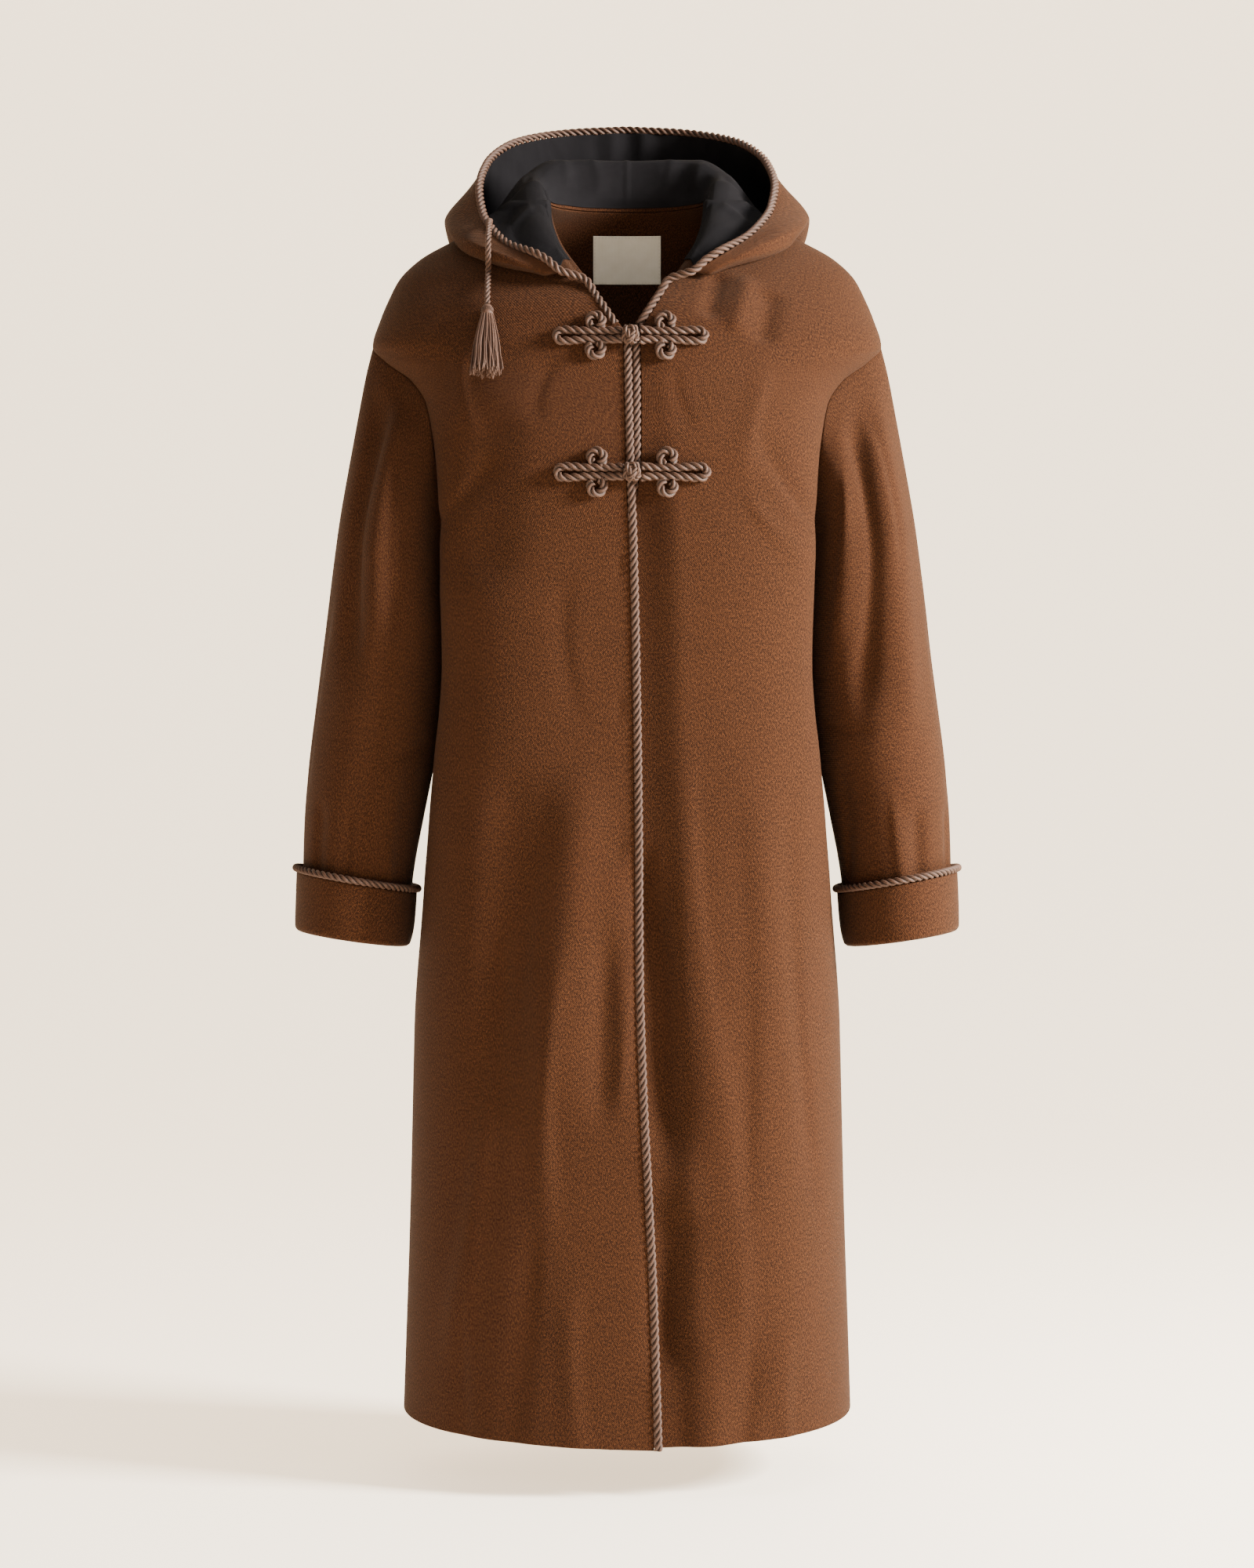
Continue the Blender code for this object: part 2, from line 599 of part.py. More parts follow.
def neck_mitre(points, normal):
    """Direction of the cloth's thickness along the neck edge, halfway to the hood's."""
    inward = unit((0.0, 0.02, 0.0) - points * (1.0, 1.0, 0.0))
    return unit(inward - normal)


def armhole_mitre(points, side):
    """Direction of the thickness at points of the armhole, shared with the sleeve's."""
    loop, mitre, _ = armhole_loop(side)
    nearest = np.linalg.norm(points[:, None] - loop[None], axis=-1).argmin(axis=1)
    return mitre[nearest]


def armhole_rows():
    """Which rows of a panel end at the armhole."""
    outer = np.array([row[0] for row in EDGE_ROWS[1:]])
    return (outer > ARMPIT - 1e-6) & (outer < SHOULDER_TIP + 1e-6)


def add_front(side, name, finish):
    """One front, from its centre edge to side seam, armhole and shoulder seam."""
    turn, height = front_grid(side)
    outer = front_cloth(turn, height, side)
    normal = body_normal(turn, height)
    thickness = -normal
    rows = armhole_rows()
    thickness[rows, -1] = armhole_mitre(outer[rows, -1], side)
    bare = FRONT_COLUMNS - NECK_FRONT_STEPS - 1
    thickness[-1, bare:] = neck_mitre(outer[-1, bare:], normal[-1, bare:])
    inner = outer + thickness * CLOTH
    if side < 0:
        outer = outer[:, ::-1]
        inner = inner[:, ::-1]
    return add_wall(name, outer, inner, finish)


def back_cloth():
    """Outer points and thickness direction of the back's rows, from the hem to the neck."""
    turns = []
    heights = []
    for outer, _ in EDGE_ROWS[1:]:
        start = float(seam_turn(outer, 1, "back"))
        end = 2 * math.pi + float(seam_turn(outer, -1, "back"))
        turn, height = panel_row(start, end, outer, outer, BACK_COLUMNS)
        if outer <= SIDE_HEM:
            height = height - BACK_HEM_DROP * np.cos(turn) ** 2
        turns.append(turn)
        heights.append(height)
    turns = np.array(turns)
    heights = np.array(heights)
    return body(turns, heights), body_normal(turns, heights)


def add_back(finish):
    """The back, in one piece from side seam to side seam."""
    outer, normal = back_cloth()
    thickness = -normal
    rows = armhole_rows()
    for end, side in ((0, 1), (-1, -1)):
        thickness[rows, end] = armhole_mitre(outer[rows, end], side)
    back = np.linspace(NECK_SHOULDER, -NECK_SHOULDER, NECK_BACK_STEPS + 1)
    seam, mitre = neck_edge(back)
    ends = outer[-1, [0, -1]].copy()
    steps = np.linspace(0.0, NECK_BACK_STEPS, BACK_COLUMNS)
    for axis in range(3):
        outer[-1, :, axis] = np.interp(steps, range(NECK_BACK_STEPS + 1), seam[:, axis])
        thickness[-1, :, axis] = np.interp(steps, range(NECK_BACK_STEPS + 1), mitre[:, axis])
    outer[-1, [0, -1]] = ends
    return add_wall("back", outer, outer + thickness * CLOTH, finish)


# Sleeves and cuffs


def around_armhole(front, back):
    """One line round the armhole from its two faces: tip, front, armpit, then back."""
    ends = (front + back) / 2
    return np.concatenate([ends[:1], front[1:-1], ends[-1:], back[-2:0:-1]])


def with_halves(points):
    """A closed line with the middle of every step added."""
    halves = (points + np.roll(points, -1, axis=0)) / 2
    return np.stack([points, halves], axis=1).reshape((-1,) + points.shape[1:])


def armhole_loop(side):
    """The armhole seam: its points, the thickness direction and the way clear of the body."""
    heights = np.array([row[0] for row in EDGE_ROWS[1:]])[armhole_rows()][::-1]
    turns = [seam_turn(heights, side, face) for face in ("front", "back")]
    ring = around_armhole(*[body(turn, heights) for turn in turns])
    normal = unit(around_armhole(*[body_normal(turn, heights) for turn in turns]))
    loop = with_halves(ring)
    count = len(loop)
    angles = np.linspace(0.0, 2 * math.pi, count, endpoint=False)[None]
    sleeve = sleeve_cloth(np.full((1, count), SLEEVE_ROWS[2]), angles, side, loop[None])[0]
    leaving = unit(sleeve[::2] - ring)
    inward = np.array([side * 0.196, 0.004, -0.170]) - ring
    inward = unit(inward - normal * (inward * normal).sum(-1, keepdims=True))
    flat = (leaving * inward).sum(-1, keepdims=True)
    raised = (leaving * normal).sum(-1, keepdims=True)
    size = np.maximum(np.hypot(flat, raised), 1e-6)
    flat, raised = flat / size, np.maximum(raised / size, 0.05)
    mitre = unit(inward * raised - normal * (1.0 + flat))
    apart = unit(inward * (1.0 + flat) + normal * raised)
    return loop, with_halves(mitre), with_halves(apart)


def ring_points(table, at, turn, side):
    """Points of an oval ring of a sleeve or cuff table."""
    outer = np.stack([side * column(table, "outer_x", at), 0 * at,
                      column(table, "outer_z", at)], axis=-1)
    inner = np.stack([side * column(table, "inner_x", at), 0 * at,
                      column(table, "inner_z", at)], axis=-1)
    depth = column(table, "half_depth", at)
    middle = (outer + inner) / 2
    along = (outer - inner) / 2
    points = middle + along * np.cos(turn)[..., None]
    points[..., 1] -= depth * np.sin(turn)
    return points


def sleeve_cloth(ring, turn, side, loop):
    """The sleeve's outer cloth: the armhole loop easing into ovals, with its folds."""
    oval = ring_points(SLEEVE_RINGS, ring, turn, side)
    start = np.zeros_like(ring)
    shift = (ring_points(SLEEVE_RINGS, ring, turn * 0, side)
             + ring_points(SLEEVE_RINGS, ring, turn * 0 + math.pi, side)) / 2
    shift -= (ring_points(SLEEVE_RINGS, start, turn * 0, side)
              + ring_points(SLEEVE_RINGS, start, turn * 0 + math.pi, side)) / 2
    freed = column(SLEEVE_RINGS, "freed", ring)[..., None]
    points = (loop + shift) * (1 - freed) + oval * freed
    outward = unit(points - (shift + loop.mean(axis=1, keepdims=True)) * (1 - freed)
                   - ring_points(SLEEVE_RINGS, ring, turn * 0, side) * freed / 2
                   - ring_points(SLEEVE_RINGS, ring, turn * 0 + math.pi, side) * freed / 2)
    raised = np.zeros(ring.shape)
    degrees = np.degrees(turn)
    for fold in SLEEVE_FOLDS[1:]:
        fold_side, top_ring, top_turn, low_ring, low_turn, half_turn, height = fold
        if fold_side != side:
            continue
        along = (ring - top_ring) / (low_ring - top_ring)
        centre = top_turn + (low_turn - top_turn) * along
        fade = ease(along / FOLD_FADE) * ease((1.0 - along) / FOLD_FADE)
        raised += height * fade * np.exp(-(((degrees - centre) / half_turn) ** 2))
    points = points + outward * raised[..., None]
    return clear_of_body(points, SLEEVE_CLEARANCE * np.clip(ring / 0.30, 0.0, 1.0))


def add_sleeve(side, name, finish):
    """One sleeve, from the armhole to the seam inside its cuff."""
    loop, mitre, apart = armhole_loop(side)
    count = len(loop)
    turns = np.linspace(0.0, 2 * math.pi, count, endpoint=False)
    ring, turn = np.meshgrid(np.array(SLEEVE_ROWS), turns, indexing="ij")
    loops = np.broadcast_to(loop, (len(SLEEVE_ROWS), count, 3))
    outer = sleeve_cloth(ring, turn, side, loops)
    normal = grid_normal(outer, closed=True) * side
    steps = [np.linalg.norm(mitre - np.roll(mitre, k, axis=0), axis=1) for k in (-2, 2)]
    outer[0] += apart * (SEAM_GAP * 1.6 + np.maximum(*steps)[:, None] * CLOTH * 0.3)
    thickness = -normal
    thickness[0] = mitre
    inner = outer + thickness * CLOTH
    if side < 0:
        outer = outer[::-1]
        inner = inner[::-1]
    return add_wall(name, outer, inner, finish, closed=True)


def add_cuff(side, name, finish):
    """A cuff turned up over the sleeve, with the fold at its foot."""
    turns = np.linspace(0.0, 2 * math.pi, CUFF_ROUND, endpoint=False)
    profile = np.array(CUFF_TURN[1:])
    height, turn = np.meshgrid(profile[:, 0], turns, indexing="ij")
    stand_off = np.repeat(profile[:, 1:2], CUFF_ROUND, axis=1)
    middle = cuff_line(height, turn, stand_off, side)
    normal = grid_normal(middle, closed=True) * side
    outer = middle + normal * CLOTH / 2
    inner = middle - normal * CLOTH / 2
    if side < 0:
        outer = outer[::-1]
        inner = inner[::-1]
    return add_wall(name, outer, inner, finish, closed=True)


def cuff_line(height, turn, stand_off, side):
    """Points round a cuff at a height above its fold, standing off the sleeve's own line."""
    points = ring_points(CUFF_RINGS, height, turn, side)
    centre = (ring_points(CUFF_RINGS, height, turn * 0, side)
              + ring_points(CUFF_RINGS, height, turn * 0 + math.pi, side)) / 2
    return points + unit(points - centre) * stand_off[..., None]


def add_cuff_cord(side, name, finish):
    """The cord along a cuff's free top edge."""
    turns = np.linspace(0.0, 2 * math.pi, CUFF_ROUND, endpoint=False)
    height = np.full(CUFF_ROUND, CUFF_TURN[-1][0] + CUFF_CORD + SEAM_GAP)
    stand_off = np.full(CUFF_ROUND, CUFF_TURN[-1][1] + CUFF_CORD_OUT)
    return add_tube(name, cuff_line(height, turns, stand_off, side), CUFF_CORD, 6, finish, True)


# Hood


def hood_frame(share):
    """Neck seam point, direction out and rim point of the hood's sections."""
    turn, height = neck_seam(share)
    seam = body(turn, height)
    side = np.where(share < 0, -1.0, 1.0)
    size = np.abs(share)
    drop = np.where(share < 0, column(HOOD_DROOP, "drop", size), 0.0)
    rim = np.stack([side * column(HOOD_SECTIONS, "rim_x", size),
                    column(HOOD_SECTIONS, "rim_y", size),
                    column(HOOD_SECTIONS, "rim_z", size) - drop], axis=-1)
    out = unit((rim - seam) * (1.0, 1.0, 0.0))
    return seam, out, rim


def hood_knots(share):
    """The hood's section points: seam, rise, roll, pit, low, high and rim."""
    seam, out, rim = hood_frame(share)
    size = np.abs(share)
    drop = np.where(share < 0, column(HOOD_DROOP, "drop", size), 0.0)
    up = np.array([0.0, 0.0, 1.0])
    knots = [seam]
    for part, sink in (("rise", 0.0), ("roll", 0.0), ("pit", 0.5), ("low", 1.0),
                       ("high", 1.0)):
        reach = column(HOOD_SECTIONS, part + "_out", size)[..., None]
        rise = (column(HOOD_SECTIONS, part + "_up", size) - sink * drop)[..., None]
        knots.append(seam + out * reach + up * rise)
    knots.append(rim)
    return [2 * knots[0] - knots[1]] + knots + [2 * knots[-1] - knots[-2]]


def hood_middle(share, across):
    """The hood's cloth: share round the neck, across from the seam (0) to the rim (6)."""
    knots = hood_knots(share)
    lengths = [np.linalg.norm(b - a, axis=-1, keepdims=True) for a, b in zip(knots, knots[1:])]
    times = [np.zeros_like(lengths[0])]
    for length in lengths:
        times.append(times[-1] + np.maximum(length, 1e-4) ** 0.5)
    line = np.zeros_like(knots[0])
    for piece in range(6):
        start, end = times[piece + 1], times[piece + 2]
        t = start + (end - start) * np.clip(across[..., None] - piece, 0.0, 1.0)
        points = knots[piece:piece + 4]
        marks = times[piece:piece + 4]
        for level in range(1, 4):
            points = [
                (points[k] * (marks[k + level] - t) + points[k + 1] * (t - marks[k]))
                / (marks[k + level] - marks[k])
                for k in range(4 - level)
            ]
        here = (across[..., None] >= piece) & ((across[..., None] < piece + 1) | (piece == 5))
        line = np.where(here, points[0], line)
    reach = np.linalg.norm(line - knots[1], axis=-1)
    clearance = HOOD_CLEARANCE + HOOD_END_LIFT * ease((np.abs(share) - 0.78) / 0.12)
    return clear_of_body(line, np.minimum(clearance, HOOD_SLOPE * reach))


def body_distance(points):
    """Measure of how far points lie outside the body's form, from its level sections."""
    height = points[..., 2]
    half = column(BODY_SECTIONS, "half_width", height)
    square = column(BODY_SECTIONS, "squareness", height)
    middle = column(BODY_SECTIONS, "middle", height)
    y = points[..., 1] - middle
    front = column(BODY_SECTIONS, "front", height)
    back = column(BODY_SECTIONS, "back", height)
    depth = np.where(y < 0, front, back)
    reach = np.clip(1.0 - (y / (HOLLOW_REACH * depth)) ** 2, 0.0, None)
    x = np.abs(points[..., 0]) + column(BODY_SECTIONS, "hollow", height) * reach**2
    return (np.abs(x / half) ** square + np.abs(y / depth) ** square) ** (1 / square) - 1.0


def clear_of_body(points, clearance):
    """Moves points that lie too near the body out along its own slope."""
    small = 0.0005
    for _ in range(6):
        value = body_distance(points)
        slope = np.stack([
            (body_distance(points + np.eye(3)[axis] * small) - value) / small for axis in range(3)
        ], axis=-1)
        size = np.linalg.norm(slope, axis=-1)
        gap = value / np.maximum(size, 1e-6)
        push = np.clip(clearance - gap, 0.0, 0.01)
        points = points + slope / np.maximum(size, 1e-6)[..., None] * push[..., None]
    return points


def hood_grid(shares):
    """The hood's middle surface, rows from seam to rim."""
    share, across = np.meshgrid(shares, np.array(HOOD_ROWS), indexing="xy")
    return hood_middle(share, across)


def add_hood(wool, satin):
    """The hood, from the neck seam over the roll and round the bag to the rim, and its lining."""
    shares = neck_shares()
    middle = hood_grid(shares)
    normal = grid_normal(middle, closed=False)
    outer = middle + normal * CLOTH / 2
    inner = middle - normal * CLOTH / 2
    seam, mitre = neck_edge(shares)
    turn, height = neck_seam(shares)
    inward = unit((0.0, 0.02, 0.0) - seam * (1.0, 1.0, 0.0))
    apart = SEAM_GAP * (1.3 + 1.5 * ease((np.abs(shares) - 0.76) / 0.1))[:, None]
    outer[0] = seam + unit(inward + body_normal(turn, height)) * apart
    inner[0] = outer[0] + mitre * CLOTH
    add_wall("hood", outer, inner, wool)
    start = inner[0] * (1 - LINING_START) + inner[1] * LINING_START
    lined = np.concatenate([start[None], inner[1:]])
    gap = np.full((len(lined), 1, 1), LINING_GAP)
    gap[0] *= 2.4
    facing = lined - normal * gap
    backing = facing - normal * LINING
    inside = slice(LINING_ENDS, -LINING_ENDS)
    add_wall("hood_lining", facing[:, inside], backing[:, inside], satin)


def rim_cord_path():
    """The rim cord's line: round the hood's rim, then down the bare neck edge to the frog."""
    shares = neck_shares()
    last = hood_middle(shares, np.full(shares.shape, 6.0))
    near = hood_middle(shares, np.full(shares.shape, HOOD_ROWS[-2]))
    away = EDGE_CORD + SEAM_GAP * (2 + 6 * ease((np.abs(shares) - 0.72) / 0.14))
    rim = last + unit(last - near) * away[:, None]
    ends = []
    for side in (1, -1):
        along, past, off = np.array(NECK_CORD[1:]).T
        turn, height = neckline(along, side)
        edge = front_cloth(turn, height, side)
        normal = body_normal(turn, height)
        inward = unit(np.cross(normal, np.gradient(edge, axis=0))) * side
        ends.append(edge + inward * past[:, None] + normal * off[:, None])
    return np.concatenate([ends[0], rim, ends[1][::-1]])


def edge_cord_path(side):
    """The cord along a front's centre edge, from under the upper frog to the hem."""
    centres = np.array([row[1] for row in EDGE_ROWS[1:]])
    heights = np.concatenate([centres[centres < EDGE_CORD_TOP - 0.004], [EDGE_CORD_TOP]])
    x = front_edge(heights, side)
    edge = front_cloth(front_turn(x, heights), heights, side, -CLOTH / 2)
    edge[:, 0] -= side * (EDGE_CORD + SEAM_GAP)
    return edge


def on_front(x, z, lift):
    """Points over the fronts at a place seen from the front, lifted off the cloth."""
    side = np.where(x < 0.0, -1, 1)
    turn = front_turn(x, z)
    points = body(turn, z, lift)
    points[..., 0] = x
    points[..., 2] = z
    return points


def frog_path(knot_x, knot_z, outward, gap):
    """A frog half's long loop: out from the knot, round the far end and back."""
    inner = KNOT_HALF[0] - SEAM_GAP
    outs = np.array([inner, 0.0125, 0.018, 0.026, 0.034, 0.044, 0.056, 0.066, 0.0715])
    ups = np.array([gap, gap, FROG_ARM, FROG_ARM, FROG_ARM, FROG_ARM, FROG_SLOT,
                    FROG_SLOT, FROG_ARM * 0.85])
    tip = FROG_REACH - FROG_CORD
    outs = np.concatenate([outs[:-1], [tip - 0.0016, tip, tip - 0.0016], outs[-2::-1]])
    ups = np.concatenate([ups[:-1], [FROG_ARM * 0.8, 0.0, -FROG_ARM * 0.8], -ups[-2::-1]])
    rise = FROG_NECK_LIFT * (1.0 - ease((outs - 0.006) / 0.018))
    x = knot_x + outward * outs
    return on_front(x, knot_z + ups, FROG_CORD + SEAM_GAP * 1.8 + rise)


def frog_curl(knot_x, knot_z, outward, upward):
    """A curl of a frog: from the long loop up and round to its own middle."""
    turns = np.radians(np.linspace(-70.0, 235.0, 11))
    radius = FROG_CURL_RADIUS - 0.0016 * np.linspace(0.0, 1.0, 11) ** 2
    outs = FROG_CURL_OUT - radius * np.cos(turns)
    ups = upward * (FROG_CURL_UP + radius * np.sin(turns))
    return on_front(knot_x + outward * outs, knot_z + ups,
                    np.full(11, FROG_CORD + SEAM_GAP * 2.4))


def join(first, second):
    """Unites a second mesh with the first and hides it."""
    union = first.modifiers.new("join", "BOOLEAN")
    union.operation = "UNION"
    union.solver = "EXACT"
    union.object = second
    second.hide_render = True
    second.display_type = "WIRE"


def add_frog_half(name, knot_x, knot_z, outward, gap, finish):
    """One half of a frog: its long loop with a curl above and below."""
    half = add_tube(name, frog_path(knot_x, knot_z, outward, gap), FROG_CORD, 5, finish)
    for upward, word in ((1, "over"), (-1, "under")):
        path = frog_curl(knot_x, knot_z, outward, upward)
        curl = add_tube(name + "_" + word, path, FROG_CORD * 0.97, 5, finish)
        join(half, curl)
    return half


def add_knot(name, x, z, finish):
    """The knot button of a frog, standing on the edge cords."""
    centre = on_front(np.array([x]), np.array([z]), np.array([KNOT_LIFT]))[0]
    rings, around = 6, 10
    points = [centre + (0.0, 0.0, KNOT_HALF[2])]
    for ring in range(1, rings):
        polar = math.pi * ring / rings
        for step in range(around):
            turn = 2 * math.pi * step / around
            points.append(centre + np.array([
                KNOT_HALF[0] * math.sin(polar) * math.cos(turn),
                KNOT_HALF[1] * math.sin(polar) * math.sin(turn),
                KNOT_HALF[2] * math.cos(polar),
            ]))
    points.append(centre - (0.0, 0.0, KNOT_HALF[2]))
    foot = len(points) - 1
    faces = []
    for step in range(around):
        after = (step + 1) % around
        faces.append((0, 1 + step, 1 + after))
        low = 1 + (rings - 2) * around
        faces.append((foot, low + after, low + step))
        for ring in range(rings - 2):
            a = 1 + ring * around
            b = a + around
            faces.append((a + step, b + step, b + after, a + after))
    return add_mesh(name, points, faces, finish)


def add_frogs(finish):
    """Both frogs, each with two halves and a knot."""
    for word, x, z in FROG_KNOTS[1:]:
        add_frog_half("frog_" + word + "_right", x, z, -1, FROG_ARM, finish)
        add_frog_half("frog_" + word + "_left", x, z, 1, FROG_ARM * 1.25, finish)
        add_knot("knot_" + word, x, z, finish)


def add_label(finish):
    """The blank label inside the back of the neck."""
    heights = np.linspace(LABEL_FOOT, LABEL_TOP, 5)
    places = np.linspace(-LABEL_HALF_WIDTH, LABEL_HALF_WIDTH, 7)
    x, height = np.meshgrid(places, heights, indexing="xy")
    turn = math.pi - front_turn(x, height)
    near = CLOTH + SEAM_GAP * 2
    face = body(turn, height, -near)
    backing = body(turn, height, -near - LABEL)
    return add_wall("neck_label", face[:, ::-1], backing[:, ::-1], finish)


def hood_face(x, heights):
    """How far forward the hood comes at a sideways place and heights seen from the front."""
    share, across = np.meshgrid(math.copysign(1.0, x) * np.linspace(0.4, 1.0, 121),
                                np.linspace(3.0, 6.0, 91), indexing="ij")
    points = hood_middle(share, across).reshape(-1, 3)
    points = points[np.abs(points[:, 0] - x) < TASSEL_CORD * 1.4]
    found = []
    for height in heights:
        near = points[np.abs(points[:, 2] - height) < TASSEL_CORD * 1.2]
        found.append(near[:, 1].min() - CLOTH / 2 if len(near) else 1.0)
    return np.array(found)


def tassel_route():
    """The tassel cord's own points: from the rim cord, over the hood's edge, down the chest."""
    rim = rim_cord_path()
    rim = rim[(rim[:, 0] < 0.0) & (rim[:, 1] < 0.0)]
    rim = rim[np.argsort(rim[:, 0])]
    rope_y, rope_z = [np.interp(TASSEL_X, rim[:, 0], rim[:, axis]) for axis in (1, 2)]
    heights = np.linspace(rope_z + TASSEL_CORD_RISE, TASSEL_HEAD_Z + SEAM_GAP * 2, 18)
    chest = tassel_line(heights)
    hood = hood_face(TASSEL_X, heights) - TASSEL_CORD - SEAM_GAP * 2
    ahead = np.minimum(hood, chest[:, 1])
    over = heights > rope_z - EDGE_CORD
    rope = rope_y - EDGE_CORD - TASSEL_CORD - SEAM_GAP * 4.0
    ahead[over] = np.minimum(ahead[over], rope)
    held = np.array([ahead[max(0, k - 1):k + 2].min() for k in range(len(ahead))])
    held[0] = ahead[0]
    chest[:, 1] = held
    return chest


def tassel_line(heights):
    """A plumb line over the chest, seen from the front."""
    x = np.full(heights.shape, TASSEL_X)
    lift = np.interp(heights, TASSEL_LIFT_HEIGHTS, TASSEL_LIFTS)
    return on_front(x, heights, lift)


def add_tassel_cord(finish):
    """The free cord that holds the tassel."""
    points = smooth_path(tassel_route(), TASSEL_CORD_STEPS)
    curve = bpy.data.curves.new("tassel_cord", "CURVE")
    curve.dimensions = "3D"
    curve.bevel_depth = TASSEL_CORD
    curve.bevel_resolution = 2
    curve.use_fill_caps = True
    line = curve.splines.new("POLY")
    line.points.add(len(points) - 1)
    for place, point in zip(line.points, points):
        place.co = (*point, 1.0)
    curve.materials.append(finish)
    made = bpy.data.objects.new("tassel_cord", curve)
    bpy.context.collection.objects.link(made)
    return made


def add_tassel(finish):
    """The tassel: a bound head, and strands that grow out of its foot."""
    top = tassel_line(np.array([TASSEL_HEAD_Z]))[0]
    foot = tassel_line(np.array([TASSEL_HEAD_Z - 0.012]))[0]
    down = unit(foot - top)
    wide = np.array([1.0, 0.0, 0.0])
    deep = np.cross(down, wide)
    across, through = TASSEL_STRANDS_ACROSS, TASSEL_STRANDS_DEEP
    u, v = np.meshgrid(np.linspace(-1, 1, across + 1), np.linspace(-1, 1, through + 1),
                       indexing="ij")
    disc_u = u * np.sqrt(1 - v**2 / 2)
    disc_v = v * np.sqrt(1 - u**2 / 2)
    points = []
    faces = []

    def place(a, b, run, size_u, size_v):
        points.append(top + down * run + wide * a * size_u + deep * b * size_v)
        return len(points) - 1

    grid = np.zeros((across + 1, through + 1), dtype=int)
    for i in range(across + 1):
        for j in range(through + 1):
            grid[i, j] = place(disc_u[i, j], disc_v[i, j], 0.0105, 0.0062, 0.0048)
    rim = [(i, 0) for i in range(across)] + [(across, j) for j in range(through)]
    rim += [(i, through) for i in range(across, 0, -1)] + [(0, j) for j in range(through, 0, -1)]
    below = [grid[i, j] for i, j in rim]
    for run, size in ((0.0070, 0.0050), (0.0030, 0.0046), (0.0, 0.0030)):
        above = [place(disc_u[i, j], disc_v[i, j], run, size, size * 0.86) for i, j in rim]
        for k in range(len(rim)):
            after = (k + 1) % len(rim)
            faces.append((below[k], below[after], above[after], above[k]))
        below = above
    faces.append(tuple(below))
    for i in range(across):
        for j in range(through):
            cell = [(i, j), (i, j + 1), (i + 1, j + 1), (i + 1, j)]
            corners = [grid[c] for c in cell]
            middle_u = np.mean([disc_u[c] for c in cell])
            middle_v = np.mean([disc_v[c] for c in cell])
            lean = 0.5 + 0.5 * math.sin(7.0 * i + 11.0 * j)
            length = TASSEL_SKIRT * (0.93 + 0.07 * lean)
            ring = corners
            for run, spread, girth in TASSEL_STRAND[1:]:
                size_u = 0.0062 * spread
                size_v = 0.0048 * (1.0 + (spread - 1.0) * 0.35)
                centre = (top + down * (0.0105 + run * length)
                          + wide * (middle_u * size_u + 0.0006 * lean * run)
                          + deep * middle_v * size_v)
                new = []
                for c in cell:
                    offset_u = (disc_u[c] - middle_u) * 0.0062 * girth
                    offset_v = (disc_v[c] - middle_v) * 0.0048 * girth
                    points.append(centre + wide * offset_u + deep * offset_v)
                    new.append(len(points) - 1)
                for k in range(4):
                    after = (k + 1) % 4
                    faces.append((ring[k], ring[after], new[after], new[k]))
                ring = new
            faces.append(tuple(ring))
    return add_mesh("tassel", points, [face[::-1] for face in faces], finish)


def clear_scene():
    """Removes every object of the scene."""
    for thing in list(bpy.data.objects):
        bpy.data.objects.remove(thing, do_unlink=True)


def build_coat():
    """Builds every piece of the coat."""
    clear_scene()
    wool = material("wool_twill", (0.155, 0.075, 0.040), 0.9)
    satin = material("black_lining", (0.008, 0.008, 0.010), 0.7)
    add_back(wool)
    add_front(-1, "front_right", wool)
    add_front(1, "front_left", wool)
    add_sleeve(-1, "sleeve_right", wool)
    add_sleeve(1, "sleeve_left", wool)
    add_cuff(-1, "cuff_right", wool)
    add_cuff(1, "cuff_left", wool)
    add_hood(wool, satin)
    cord = material("twisted_cord", (0.200, 0.095, 0.050), 0.8)
    cream = material("cream_label", (0.720, 0.660, 0.520), 0.6)
    add_label(cream)
    add_tube("rim_cord", rim_cord_path(), EDGE_CORD, 6, cord)
    for side, word in ((-1, "right"), (1, "left")):
        add_tube("edge_cord_" + word, edge_cord_path(side), EDGE_CORD, 6, cord)
        add_cuff_cord(side, "cuff_cord_" + word, cord)
    add_frogs(cord)
    add_tassel_cord(cord)
    add_tassel(cord)


build_coat()
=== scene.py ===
"""Hooded coat in wool twill, as it hangs filled out, with cord trim, frogs and a tassel.

Metres, +Z up. The front faces -Y and the wearer's left is +X. The origin is the middle of the
neck opening. Cloth pieces are thin shells on the coat's own form, cords are three twisted
strands, and each piece stands for the solid of the same name.

A turn round the body is 0 in front, pi/2 at +X and pi behind. One round a sleeve or cuff is 0
outside, pi/2 in front and pi inside. A side's sign is 1 at the wearer's left and -1 at the
right. A place round the neck is 0 at the back, and 1 and -1 at the left and right front ends.
A row of a crease table holds the two ends of a line, a half width and a height.
"""

from __future__ import annotations

import logging
import math
from dataclasses import dataclass, field
from enum import Enum, IntEnum
from typing import Any, Sequence

